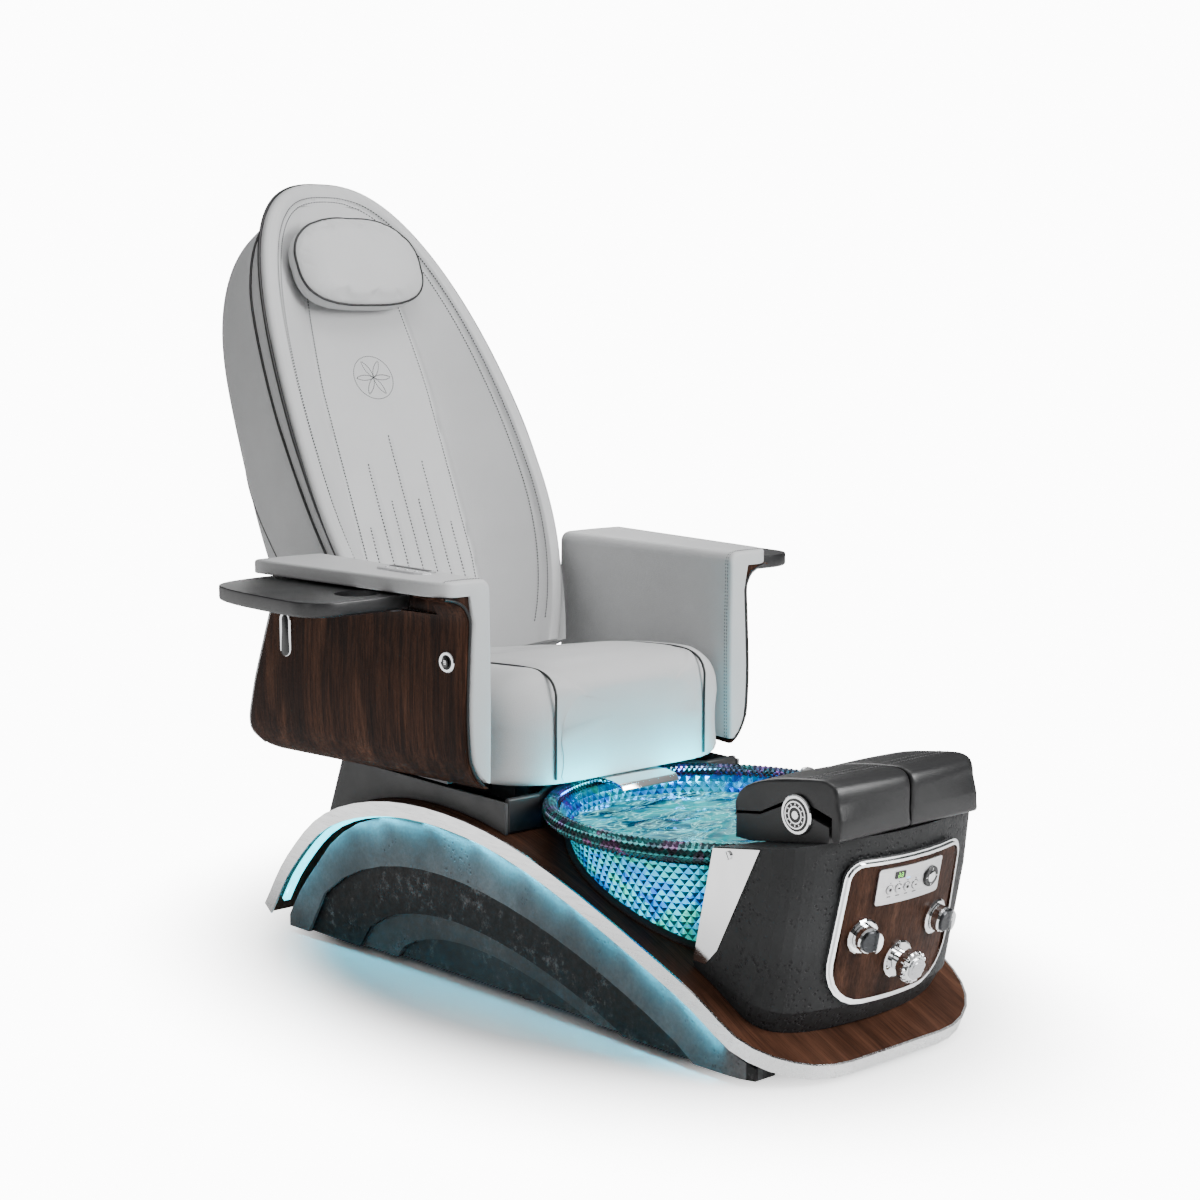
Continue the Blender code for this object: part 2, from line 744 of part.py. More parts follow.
valve_spots = {
    "hot": (-KNOB_X, board_v(KNOB_Z)),
    "cold": (KNOB_X, board_v(KNOB_Z)),
    "diverter": (0.0, board_v(DIVERTER_Z)),
}
stem_holes = [
    turned(((0, -0.03), (STEM + REST, -0.03), (STEM + REST, 0.03), (0, 0.03)), 12, board_at(u, v, 0))
    for u, v in valve_spots.values()
]
console = piece("console_body", hull(0, lambda y: skirt_top(y) + GAP, console_top), CONCRETE)
cut(console, hull(CONSOLE_WALL, lambda y: 0.03, lambda y: console_top(y) - CONSOLE_LID, past=0.10))
rim_clear = BOWL_RIM + RIM_BEAD + 0.003
rim_disc = [
    (rim_clear * math.cos(a), BOWL_Y + rim_clear * BOWL_LONG * math.sin(a))
    for a in np.arange(64) * math.tau / 64
]
cut(console, loft([[(x, y, z) for x, y in rim_disc] for z in (0.345, 0.450)]))
cut(console, *stem_holes)
skirt_shape = hull(SKIRT_IN, lambda y: deck_z(y) + 2.1 * REST, skirt_top, levels=2)
skirt = piece("console_skirt", skirt_shape, BLACK)
cut(skirt, hull(SKIRT_IN + CONSOLE_WALL, lambda y: 0.02, lambda y: 0.30, past=0.10, levels=2))

side_plate = slab_x(
    [(-0.858, 0.3705), (-0.965, 0.3880), (-0.869, 0.201), (-0.842, 0.172), (-0.813, 0.172)],
    CONSOLE_HALF + GAP, CONSOLE_HALF + GAP + PLATE_THICK,
)
piece("side_plate_left", side_plate, CHROME)
piece("side_plate_right", mirrored(side_plate), CHROME)


# Control board: walnut in a stepped chrome frame, with keypad and three valves
def board_outline(inset):
    """Round corners at the ends of four edges, the long edges in short steps."""
    top, low = BOARD_HIGH / 2, -BOARD_HIGH / 2
    corners = (
        (BOARD_HALF_TOP - 0.034, top - 0.034, 0.034, 0, 6),
        (0.034 - BOARD_HALF_TOP, top - 0.034, 0.034, 90, 0),
        (0.080 - BOARD_HALF_BOTTOM, low + 0.080, 0.080, 180, 4),
        (BOARD_HALF_BOTTOM - 0.080, low + 0.080, 0.080, 270, 0),
    )
    outline = []
    for number, (u, v, radius, start, between) in enumerate(corners):
        for k in range(7):
            turn = math.radians(start + 15 * k)
            outline.append((u + (radius - inset) * math.cos(turn), v + (radius - inset) * math.sin(turn)))
        after = corners[(number + 1) % 4]
        for k in range(1, between):
            outline.append((u + (after[0] - u) * k / between, outline[-1][1]))
    return outline


board_plate = bowed_plate(board_outline(FRAME_WIDE + GAP), BOARD_LOW, BOARD_FACE, 19)
board = piece("control_board", board_plate, WALNUT)
cut(board, *stem_holes)
frame_steps = (
    (0, BOARD_LOW), (0, BOARD_FACE), (0.005, BOARD_FACE), (0.005, BOARD_FACE + 0.003),
    (FRAME_WIDE, BOARD_FACE + 0.003), (FRAME_WIDE, BOARD_LOW),
)
frame_loops = [
    [board_at(u, v, n).translation for u, v in board_outline(inset)] for inset, n in frame_steps
]
piece("board_frame", hoop([list(section) for section in zip(*frame_loops)]), CHROME)

key_v = board_v(KEYPAD_Z)
key_low = BOARD_FACE + GAP
key_face = key_low + 0.0035
key_outline = [(u, v + key_v) for u, v in rounded(0.075, 0.0315, 0.005, 4)]
keypad = piece("keypad_panel", bowed_plate(key_outline, key_low, key_face, 13), SILVER)
well = KEY_RADIUS + RUN
low = key_low + KEY_TRAVEL + GAP
key_cap = (
    (0, low), (KEY_RADIUS, low), (KEY_RADIUS, key_face + 0.0012),
    (0.006, key_face + 0.002), (0, key_face + 0.002),
)
for number, u in enumerate(KEY_XS, 1):
    spot = board_at(u, key_v - 0.006, 0)
    cut(keypad, turned(((0, 0), (well, 0), (well, 0.03), (0, 0.03)), 14, spot))
    piece(f"keypad_button_{number}", turned(key_cap, 14, spot), SILVER, spot @ Vector((0, 0, low)))
jet_spot = board_at(JET_X, key_v, 0)
ring_low, ring_top = key_face + GAP, key_face + 0.0035
jet_ring = (
    (0.0105, ring_low), (0.018, ring_low), (0.018, ring_top - 0.001),
    (0.0165, ring_top), (0.0115, ring_top), (0.0105, ring_top - 0.001),
)
piece("jet_ring", turned(jet_ring, 20, jet_spot), BLACK)
low = ring_low + KEY_TRAVEL + GAP
jet_cap = (
    (0, low), (0.0096, low), (0.0096, ring_top + 0.0006),
    (0.008, ring_top + 0.0014), (0, ring_top + 0.0014),
)
piece("jet_button", turned(jet_cap, 18, jet_spot), CHROME, jet_spot @ Vector((0, 0, low)))

for name, (u, v) in valve_spots.items():
    spot = board_at(u, v, 0)
    big = name == "diverter"
    wide = 0.033 if big else 0.031
    behind = -CONSOLE_WALL - 0.004
    seat = BOARD_FACE + GAP
    spindle = seat + (0.034 if big else 0.013)
    valve = (
        (0, behind - 0.045), (0.018, behind - 0.045), (0.018, behind), (STEM, behind), (STEM, seat),
        (wide, seat), (wide, seat + 0.003), (wide - 0.003, seat + 0.005), (0.0060, seat + 0.005),
        (0.0060, spindle), (0, spindle),
    )
    piece(f"{name}_valve", turned(valve, 16, spot), CHROME)
    foot = seat + 0.005 + RUN
    bore = 0.0060 + REST
    if big:
        head = (
            (0.017, foot), (0.018, foot + 0.012), (0.026, foot + 0.016), (0.027, foot + 0.030),
            (0.022, foot + 0.037), (0.010, foot + 0.038), (0, foot + 0.038),
        )
    else:
        head = (
            (0.0225, foot), (0.0225, foot + 0.013), (0.0205, foot + 0.016),
            (0.016, foot + 0.0155), (0, foot + 0.013),
        )
    solid = turned(((0, foot), *head), 32 if big else 20, spot, 0.05 if big else 0.0, 8)
    knob = piece(f"{name}_knob", solid, CHROME, spot @ Vector((0, 0, foot)))
    top = spindle + RUN
    cut(knob, turned(((0, foot - 0.01), (bore, foot - 0.01), (bore, top), (0, top)), 12, spot))
    if not big:
        join(knob, plate(rounded(0.0035, 0.017, 0.003, 2), foot + 0.010, foot + 0.019, spot))

# Footrest: fixed bracket with end caps, and two padded flaps that flip forward on a pin
hub_turns = np.radians((20, 45, 70, 90, 110, 135, 160, 180))
hub = [(HUB_Y + HUB_RADIUS * math.cos(a), HUB_Z + HUB_RADIUS * math.sin(a)) for a in hub_turns]
lid_gap = 0.0006
bracket_front, bracket_rear = HINGE_Y + 0.013, -0.845
bracket_side = [
    (bracket_rear, 0.3762), (bracket_rear, 0.416), (-0.900, 0.424), *hub, (bracket_front, 0.430),
    (bracket_front, console_top(bracket_front) + lid_gap), (-0.880, console_top(-0.880) + lid_gap),
]
bracket_ends = (-PAD_END - 0.002, PAD_END + 0.002)
bracket = piece("footrest_bracket", slab_x(bracket_side, *bracket_ends), BLACK)
eye = [
    (HINGE_Y + 0.0075 * math.cos(a), HINGE_Z + 0.0075 * math.sin(a)) for a in np.radians(range(90, 271, 20))
]
eye_root = bracket_front + 0.005
join(bracket, slab_x([(eye_root, HINGE_Z - 0.0075), (eye_root, HINGE_Z + 0.0075), *eye], -0.0013, 0.0013))
pin_bore = PIN_RADIUS + GAP
cut(bracket, rod(pin_bore, (-0.01, HINGE_Y, HINGE_Z), (0.01, HINGE_Y, HINGE_Z)))
pin_end = PAD_END - 0.008
piece(
    "footrest_hinge_pin", rod(PIN_RADIUS, (-pin_end, HINGE_Y, HINGE_Z), (pin_end, HINGE_Y, HINGE_Z), 16), STEEL
)

roll_turns = np.radians((0, -45, -90, -135, -180))
roll = [(HINGE_Y + HINGE_ROLL * math.cos(a), HINGE_Z + HINGE_ROLL * math.sin(a)) for a in roll_turns]
pad_outer = [
    *roll, (-1.0755, 0.455), (-1.075, 0.482), (-1.067, 0.497), (-1.045, 0.5025), (-1.010, 0.500),
    (-0.972, 0.495), (-0.936, 0.489), (-0.906, 0.482), (-0.880, 0.473), (-0.858, 0.462),
    (-0.843, 0.447), (-0.837, 0.431), (-0.839, 0.4185), (-0.8395, 0.4125),
]
inside = HUB_RADIUS + 0.003
over_hub = [
    (HUB_Y + inside * math.cos(a), HUB_Z + inside * math.sin(a)) for a in np.radians((30, 60, 90, 120, 145))
]
pad_inner = [
    (-0.8435, 0.4125), (-0.8445, 0.4205), (-0.899, 0.4285), (-0.948, 0.4530), *over_hub, (-1.0565, 0.446),
]
pad_centre = Vector((0, -0.96, 0.452))


def pad_ring(x, draw):
    ring = []
    for y, z in pad_outer[5:]:
        point = Vector((x, y, z))
        inward = Vector((0, pad_centre.y - y, 0.445 - z)).normalized()
        ring.append(point + inward * draw)
    return [Vector((x, y, z)) for y, z in pad_outer[:5]] + ring + [Vector((x, y, z)) for y, z in pad_inner]


pad_xs = ((PAD_GAP, 0.004), (PAD_GAP + 0.003, 0.0012), (PAD_GAP + 0.010, 0),
          (0.060, -0.0012), (0.120, -0.0012),
          (PAD_END - 0.012, 0), (PAD_END - 0.004, 0.0012), (PAD_END, 0.004))
foot_pad = loft([pad_ring(x, draw) for x, draw in pad_xs])
pad_bore = rod(PIN_RADIUS + 0.0006, (-0.001, HINGE_Y, HINGE_Z), (pin_end + 0.0015, HINGE_Y, HINGE_Z), 16)
cut(piece("footrest_pad_left", foot_pad, BLACK_LEATHER, (0.09, HINGE_Y, HINGE_Z)), pad_bore)
right_pad = piece("footrest_pad_right", mirrored(foot_pad), BLACK_LEATHER, (-0.09, HINGE_Y, HINGE_Z))
cut(right_pad, mirrored(pad_bore))
cap_start = PAD_END + 0.002 + GAP
cap_shape = turned(
    ((0, 0), (0.033, 0), (0.033, 0.003), (0.031, 0.0045), (0.027, 0.0045), (0.0265, 0.0035), (0, 0.0035)),
    24, aim((cap_start, HUB_Y, HUB_Z), (1, 0, 0)),
)
piece("footrest_cap_left", cap_shape, CHROME)
piece("footrest_cap_right", mirrored(cap_shape), CHROME)

# Hand spray: a pull-out head in a ring on the console's rear edge
holder_place = Matrix.Translation((SPRAY_X, SPRAY_Y, 0))
inner = SPRAY_STEM + REST
holder_shape = ((inner, 0.393), (0.018, 0.393), (0.018, 0.4045), (inner, 0.4045))
holder = piece("spray_holder", turned(holder_shape, 20, holder_place), CHROME)
holder_arm = block((SPRAY_X - 0.009, bracket_rear + GAP, 0.3945), (SPRAY_X + 0.009, SPRAY_Y - 0.015, 0.403))
join(holder, holder_arm)
spray = (
    (0, 0.330), (SPRAY_STEM - 0.003, 0.330), (SPRAY_STEM, 0.336), (SPRAY_STEM, 0.4048), (0.017, 0.4048),
    (0.021, 0.414), (0.0205, 0.432), (0.017, 0.447), (0.010, 0.457), (0, 0.460),
)
piece("hand_spray", turned(spray, 18, holder_place), CHROME, (SPRAY_X, SPRAY_Y, 0.4048))

# Seat frame: plate on two runners, side flanges for the arms, lugs for the back's hinge
hinge = (
    BACK_Y + PIVOT_S * math.sin(BACK_TILT) + PIVOT_N * math.cos(BACK_TILT),
    BACK_Z + PIVOT_S * math.cos(BACK_TILT) - PIVOT_N * math.sin(BACK_TILT),
)
plate_low, plate_top = SLIDE_TOP + 0.012, SEAT_BOTTOM - 0.0005
plate_half = ARM_IN - GAP
seat_plate = block((-plate_half, -0.220, plate_low), (plate_half, 0.160, plate_top))
seat_frame = piece("seat_frame", seat_plate, STEEL)
lug_arc = [
    (hinge[0] + 0.022 * math.cos(a), hinge[1] + 0.022 * math.sin(a)) for a in np.radians(range(0, 181, 20))
]
lug_side = [(0.110, plate_low + 0.0015), (0.190, plate_low + 0.0015), *lug_arc]
for side in (-1, 1):
    flange = sorted((side * (SEAT_HALF + 1.5 * REST), side * (plate_half - GAP)))
    join(seat_frame, block((flange[0], -0.200, plate_top - 0.006), (flange[1], 0.040, 0.450)))
    runner = [(-0.0225, plate_low + 0.002), (-0.0225, 0.345), (-0.0178, 0.345), (-0.0178, SLIDE_TOP + REST),
              (0.0178, SLIDE_TOP + REST), (0.0178, 0.345), (0.0225, 0.345), (0.0225, plate_low + 0.002)]
    join(seat_frame, loft([[(side * SLIDE_X + u, y, z) for u, z in runner] for y in (-0.200, 0.000)]))
    for low, high in ((0.080, 0.088), (0.130, 0.138)):
        ends = sorted((side * low, side * high))
        join(seat_frame, slab_x(lug_side, *ends))
cut(seat_frame, rod(SHAFT + GAP, (-0.2, *hinge), (0.2, *hinge), 16))

# Recline motor: gear block on the seat frame, fused with the hinge shaft
motor = piece("recline_motor", block((-0.070, 0.120, plate_top + GAP), (0.070, 0.172, 0.430)), BLACK)
join(
    motor,
    block((-0.040, 0.150, 0.405), (0.040, 0.205, 0.450)),
    rod(0.018, (-0.045, *hinge), (0.045, *hinge), 18),
    rod(SHAFT, (-0.145, *hinge), (0.145, *hinge), 16),
)


# Seat cushion: crowned top between two pipings, dropped bolsters, waterfall front
def seat_half(y):
    if y < -0.28:
        return 0.17 + math.sqrt(max(0, 0.115**2 - (y + 0.28) ** 2))
    return float(np.interp(y, (0.05, 0.075, 0.10, 0.13, 0.16), (SEAT_HALF, 0.238, 0.180, 0.132, 0.104)))


def seat_top(y):
    if y < -0.31:
        return 0.535 + (SEAT_HIGH - 0.535) * math.sqrt(max(0, 1 - ((-0.31 - y) / 0.088) ** 2))
    return float(np.interp(y, (-0.31, -0.18, 0.02, 0.16), (SEAT_HIGH, 0.592, 0.558, 0.545)))


def seat_under(y):
    return max(SEAT_BOTTOM, BACK_Z + (y + 0.015 - BACK_Y) / math.tan(BACK_TILT))


SEAT_SECTION = (
    (0.0, 0.0), (0.30, -0.001), (0.58, -0.004), (0.649, -0.009),
    (0.72, -0.008), (0.84, -0.020), (0.94, -0.040), (0.99, -0.066),
)
seat_rings = []
seat_ys = [
    -0.3965, -0.390, -0.378, -0.360, -0.335, -0.310, -0.280, -0.220,
    -0.160, -0.090, -0.020, 0.045, 0.070, 0.100, 0.130, 0.158,
]
for y in seat_ys:
    half, top, low = seat_half(y), seat_top(y), seat_under(y)
    room = min(1.0, (top - low) / 0.150)
    side = [(x * half, top + drop * room) for x, drop in SEAT_SECTION]
    foot = low + 0.012 * room
    waist = side[-1][1]
    side += [(half - 0.001, foot + 0.62 * (waist - foot)), (half - 0.006, foot + 0.25 * (waist - foot))]
    side += [(half - 0.003, foot), (half - 0.012, low)]
    seat_rings.append([(x, y, z) for x, z in side] + [(-x, y, z) for x, z in reversed(side[1:])])
piece("seat_cushion", loft(seat_rings), LEATHER)

# Arms: upholstered pad with its leg, walnut outer panel, tray that swings out
WOOD_OUT = (
    (0.389, 0.011), (0.397, 0.024), (0.410, 0.036), (0.430, 0.047), (0.455, 0.0535), (0.530, 0.057),
    (0.630, 0.053), (0.690, 0.050), (0.708, 0.055), (0.722, 0.065), (0.7315, 0.083), (0.7365, 0.105),
)
WOOD_CURVE = tuple((z, ARM_IN + out) for z, out in WOOD_OUT)
slab_low = ARM_TOP - ARM_SLAB


def wood_rear(z):
    return float(np.interp(z, (0.389, 0.400, 0.440, 0.700, 0.739), (0.196, 0.219, 0.230, 0.152, 0.138)))


def splay(y):
    return ARM_SPLAY * (y - ARM_FRONT)


def arm_edge(y):
    """The pad's outer edge, rounded at its front corner."""
    edge = ARM_IN + 0.110 + 0.054 * (y - ARM_FRONT) / (ARM_REAR - ARM_FRONT)
    share = min(1, (y - ARM_FRONT) / 0.060)
    return edge - 0.030 * (1 - math.sqrt(max(0, 1 - (1 - share) ** 2)))


shares = (0, 0.012, 0.035, 0.07, 0.11, 0.2, 0.35, 0.5, 0.65, 0.8, 0.93, 0.985, 1)
pad_rings, wood_rings = [], []
wood_inside = [(z + 0.0004, x - WOOD) for z, x in WOOD_CURVE[:8]]
leg_curve = [(z + 0.004 * (z < 0.40), x - REST) for z, x in wood_inside[1:]]
for share in shares:
    y = ARM_FRONT + share * (ARM_REAR - ARM_FRONT)
    tuck = 0.005 * (share in (0, 1)) + 0.0015 * (share in (0.012, 0.985))
    edge = arm_edge(y) - tuck
    top, inner = ARM_TOP - tuck, ARM_IN + tuck
    ring = [(inner, y, 0.400), (inner, y, 0.560), (inner, y, top - 0.020)]
    for turn in np.radians((150, 120, 90)):
        ring.append((inner + 0.020 + 0.020 * math.cos(turn), y, top - 0.020 + 0.020 * math.sin(turn)))
    ring += [(edge - 0.030, y, top), (edge - 0.009, y, top)]
    ring += [(edge - 0.002, y, top - 0.004), (edge, y, top - 0.012)]
    ring += [(edge, y, slab_low + 0.007), (edge - 0.006, y, slab_low)]
    ring += [(ARM_IN + 0.042 + splay(y), y, slab_low)]
    for z, x in reversed(leg_curve):
        back = ARM_FRONT + share * (min(ARM_REAR, wood_rear(z) - 0.004) - ARM_FRONT)
        ring.append((max(x + splay(back) - tuck, inner + 0.004), back, z))
    pad_rings.append(ring)
arm_pad = loft(pad_rings)
wood_front = ARM_FRONT + 0.006
for share in np.linspace(0, 1, 9):
    outer_side, inner_side = [], []
    for z, x in WOOD_CURVE:
        y = wood_front + share * (wood_rear(z) - wood_front)
        outer_side.append((x + splay(y), y, z))
    for z, x in wood_inside:
        y = wood_front + share * (wood_rear(z) - wood_front)
        inner_side.append((x + splay(y), y, z))
    y = wood_front + share * (wood_rear(slab_low) - wood_front)
    head = [
        (ARM_IN + 0.105 + splay(y) * 0.8, y, slab_low - GAP),
        (ARM_IN + 0.042 + splay(y), y, slab_low - GAP),
    ]
    wood_rings.append(outer_side + head + list(reversed(inner_side)))
arm_wood = loft(wood_rings)
recess = block((ARM_IN + 0.057, -0.280, 0.700), (ARM_IN + 0.405, 0.300, slab_low + 0.0015))
seats = {}
for side, flip in (("left", lambda shape: shape), ("right", mirrored)):
    pad = piece(f"arm_pad_{side}", flip(arm_pad), LEATHER)
    cut(pad, flip(recess))
    seats[side] = piece(f"arm_panel_{side}", flip(arm_wood), WALNUT)
    cut(seats[side], flip(recess))

TRAY_OUT = (
    (0.073, -0.150), (0.073, -0.236), (0.155, -0.240), (0.297, -0.243), (0.305, -0.110),
    (0.302, 0.040), (0.277, 0.118), (0.155, 0.150), (0.073, 0.140), (0.073, 0.000),
)
tray_outline = softened([(ARM_IN + out, y) for out, y in TRAY_OUT])
tray_mid = ARM_IN + 0.190
tray_shape = loft([
    [(x, y, z) for x, y in (tray_outline if not draw else [
        (tray_mid + (x - tray_mid) * (1 - draw), -0.03 + (y + 0.03) * (1 - draw)) for x, y in tray_outline
    ])]
    for z, draw in ((TRAY_LOW, 0.05), (TRAY_LOW + 0.010, 0.0), (TRAY_TOP - 0.002, 0.0), (TRAY_TOP, 0.012))
])
tray_holes = [
    rod(CUP_RADIUS, (*CUP_HOLE, TRAY_LOW - 0.02), (*CUP_HOLE, TRAY_TOP + 0.02), 24),
    rod(0.0068, (*TRAY_PIVOT, TRAY_LOW - 0.02), (*TRAY_PIVOT, TRAY_TOP + 0.02), 12),
]
pivot_top = slab_low + 0.0015 - GAP
pivot_shape = turned(
    (
        (0, TRAY_LOW - 0.005), (0.011, TRAY_LOW - 0.005), (0.011, TRAY_LOW - REST), (0.006, TRAY_LOW - REST),
        (0.006, TRAY_TOP + REST), (0.012, TRAY_TOP + REST), (0.012, pivot_top), (0, pivot_top),
    ),
    16, Matrix.Translation((*TRAY_PIVOT, 0)),
)
for side, flip, sign in (("left", lambda shape: shape, 1), ("right", mirrored, -1)):
    tray = piece(f"tray_{side}", flip(tray_shape), BLACK, (sign * TRAY_PIVOT[0], TRAY_PIVOT[1], TRAY_TOP))
    cut(tray, *map(flip, tray_holes))
    piece(f"tray_pivot_{side}", flip(pivot_shape), STEEL)

# Controls of the right arm: ringed button, oblong bezel and touch control
wood_out = Vector((-1, -ARM_SPLAY, 0)).normalized()


def wood_face(y, z):
    x = np.interp(z, [row[0] for row in WOOD_CURVE], [row[1] for row in WOOD_CURVE])
    return Vector((-(float(x) + splay(y)), y, z))


button_place = aim(wood_face(-0.305, 0.618), wood_out)
cut(seats["right"], turned(((0, -0.004), (0.0195, -0.004), (0.0195, 0.02), (0, 0.02)), 20, button_place))
ring_shape = (
    (0.0125, -0.0037), (0.019, -0.0037), (0.019, 0.001),
    (0.0175, 0.0022), (0.0135, 0.0022), (0.0125, 0.001),
)
piece("arm_button_ring", turned(ring_shape, 20, button_place), CHROME)
button_shape = ((0, -0.0018), (0.0116, -0.0018), (0.0116, 0.0014), (0.010, 0.0022), (0, 0.0022))
piece("arm_button", turned(button_shape, 16, button_place), BLACK, button_place @ Vector((0, 0, -0.0018)))

slot_spot = wood_face(0.118, 0.625)
slot_side = Vector((-wood_out.y, wood_out.x, 0))
slot_place = Matrix((
    (slot_side.x, 0, wood_out.x, slot_spot.x),
    (slot_side.y, 0, wood_out.y, slot_spot.y),
    (0, 1, 0, slot_spot.z),
    (0, 0, 0, 1),
))
cut(seats["right"], plate(rounded(0.0160, 0.0440, 0.0150, 4), -0.004, 0.03, slot_place))
slot_steps = (
    (0.0155, 0.0435, -0.0037), (0.0155, 0.0435, 0.0015), (0.0135, 0.0415, 0.0028),
    (0.0095, 0.0375, 0.0015), (0.0095, 0.0375, -0.0037),
)
slot_loops = [
    [slot_place @ Vector((u, v, n)) for u, v in rounded(hu, hv, hu - 0.0002, 4)] for hu, hv, n in slot_steps
]
piece("slot_bezel", hoop([list(section) for section in zip(*slot_loops)]), CHROME)

control_place = Matrix.Translation((-ARM_IN - 0.050, -0.170, 0))
control_shape = loft([
    [control_place @ Vector((u, v, z)) for u, v in rounded(hu, hv, 0.020, 4)]
    for hu, hv, z in (
        (0.025, 0.070, ARM_TOP + GAP), (0.025, 0.070, ARM_TOP + 0.003), (0.0235, 0.0685, ARM_TOP + 0.004),
    )
])
piece("arm_control", control_shape, SILVER)


# Back: bucket cushion, rear shell, carrier board on the hinge and head pillow
def on_back(x, s, n):
    return (
        x,
        BACK_Y + s * math.sin(BACK_TILT) + n * math.cos(BACK_TILT),
        BACK_Z + s * math.cos(BACK_TILT) - n * math.sin(BACK_TILT),
    )


def back_half(s, top=BACK_TOP):
    if s > 0.35:
        return BACK_HALF * max(0, 1 - ((s - 0.35) / (top - 0.35)) ** 2) ** 0.38
    return BACK_HALF * math.sqrt(1 - ((0.35 - s) / 0.53) ** 2)


def wing(s):
    return WING_DEPTH * (1 - max(0, (s - 0.15) / 0.9) ** 1.6) if s < 1.05 else 0.0


def flat_half(s):
    seam = max(back_half(s) - 0.030, 0.35 * back_half(s))
    return min(0.137, 0.55 * seam), seam


def back_front(x, s):
    """The cushion's front face."""
    flat, seam = flat_half(s)
    share = max(0, (abs(x) - flat) / (seam - flat))
    return -wing(s) * share**1.5


def back_rear(x, s):
    """The cushion's rear face, where the shell takes over."""
    flat, _ = flat_half(s)
    share = min(1, max(0, (abs(x) - flat) / (back_half(s) - 0.006 - flat)))
    thick = 0.0145 + (CUSHION_THICK - 0.0145) * min(1, (BACK_TOP - s) / 0.15) ** 0.5
    return -wing(s) * share**1.5 + thick - (thick - 0.0145) * share**4


cushion_rings = []
for s in (
    BACK_FOOT, 0.03, 0.10, 0.18, 0.27, 0.36, 0.46, 0.56, 0.66, 0.75,
    0.83, 0.90, 0.95, 0.985, 1.015, 1.036, 1.048, 1.0532,
):
    half, depth = back_half(s), wing(s)
    flat, seam = flat_half(s)
    crown = 0.004 * math.sin(math.pi * min(1, max(0, (s - BACK_FOOT) / (BACK_TOP - BACK_FOOT))))
    front = [(0, -crown), (0.5 * flat, -0.8 * crown), (flat, 0.001)]
    for share in (0.25, 0.5, 0.75, 0.93):
        x = flat + (seam - flat) * share
        front.append((x, back_front(x, s)))
    front += [(seam, -depth + 0.002)]
    edge = half - seam
    rim = min(1, (BACK_TOP - s) / 0.06)
    for share, rise in ((0.2, 0.004), (0.5, 0.008), (0.88, 0.003), (1, -0.011)):
        front.append((seam + share * edge, -depth - rise * (rim if rise > 0 else 1)))
    rear = []
    for share in (0, 0.25, 0.5, 0.75, 0.9):
        x = flat + (half - 0.006 - flat) * share
        rear.append((x, back_rear(x, s) - REST))
    ring = [(x, n) for x, n in front] + [(x, n) for x, n in reversed(rear)]
    ring += [(-x, n) for x, n in rear] + [(-x, n) for x, n in reversed(front[1:])]
    cushion_rings.append([on_back(x, s, n) for x, n in ring])
piece("back_cushion", loft(cushion_rings), LEATHER)


def shell_half(s):
    """The shell keeps to the cushion's outline and closes a little below its top."""
    if s > 0.35:
        return min(back_half(s), BACK_HALF * max(0, 1 - ((s - 0.35) / (SHELL_TOP - 0.35)) ** 2) ** 0.31)
    return back_half(s)


shell_rings = []
for s in (BACK_FOOT, 0.03, 0.10, 0.18, 0.27, 0.36, 0.46, 0.56, 0.66, 0.75, 0.83, 0.90, 0.94, 0.97, 0.985):
    half = shell_half(s)
    flat, _ = flat_half(s)
    start = back_rear(half, s) + 0.0034
    fade = math.sqrt(max(0, 1 - (max(0, s - 0.62) / 0.37) ** 3))
    deep = 0.050 + (SHELL_DEPTH - 0.050) * fade + SHELL_SWELL * math.exp(-(((s - 0.74) / 0.16) ** 2))
    outer = [(half, start), (half * 1.006, start + 0.25 * (deep - start))]
    for wide, share in ((1.000, 0.52), (0.955, 0.78), (0.720, 0.95), (0.350, 0.99)):
        outer.append((half * wide, start + share * (deep - start)))
    outer.append((0, deep))
    front = []
    for share in (0, 0.25, 0.5, 0.75, 0.9):
        x = flat + (half - 0.010 - flat) * share
        front.append((x, min(back_rear(x, s) + 0.0026, deep - 0.012)))
    ring = front + outer + [(-x, n) for x, n in reversed(outer[:-1])] + [(-x, n) for x, n in reversed(front)]
    shell_rings.append([on_back(x, s, n) for x, n in ring])
shell = piece("back_shell", loft(shell_rings), LEATHER)


def back_box(x0, x1, s0, s1, n0, n1):
    ring = ((x0, s0), (x1, s0), (x1, s1), (x0, s1))
    return loft([[on_back(x, s, n) for x, s in ring] for n in (n0, n1)])


board_n0 = CUSHION_THICK + GAP - REST
board_n1 = board_n0 + BACK_PLATE
cut(shell, back_box(-0.1305, 0.1305, -0.08, 0.8505, -0.14, board_n1 + REST))
axle = on_back(0, PIVOT_S, PIVOT_N)[1:]
board_shape = back_box(-0.130, 0.130, BACK_FOOT + 0.002, 0.850, board_n0, board_n1)
back_board = piece("back_board", board_shape, STEEL, (0, *axle))
for side in (-1, 1):
    ends = sorted((side * 0.0905, side * 0.1275))
    join(
        back_board,
        back_box(*ends, PIVOT_S, 0.02, board_n0 + 0.0005, board_n1 - 0.0005),
        rod(KNUCKLE, (ends[0] + 0.0004, *axle), (ends[1] - 0.0004, *axle), 18),
    )
cut(back_board, rod(SHAFT + REST, (-0.2, *axle), (0.2, *axle), 16))
for name in ("back_cushion", "back_shell"):
    thing = bpy.data.objects[name]
    thing.data.transform(Matrix.Translation((0, -axle[0], -axle[1])))
    thing.location = (0, *axle)

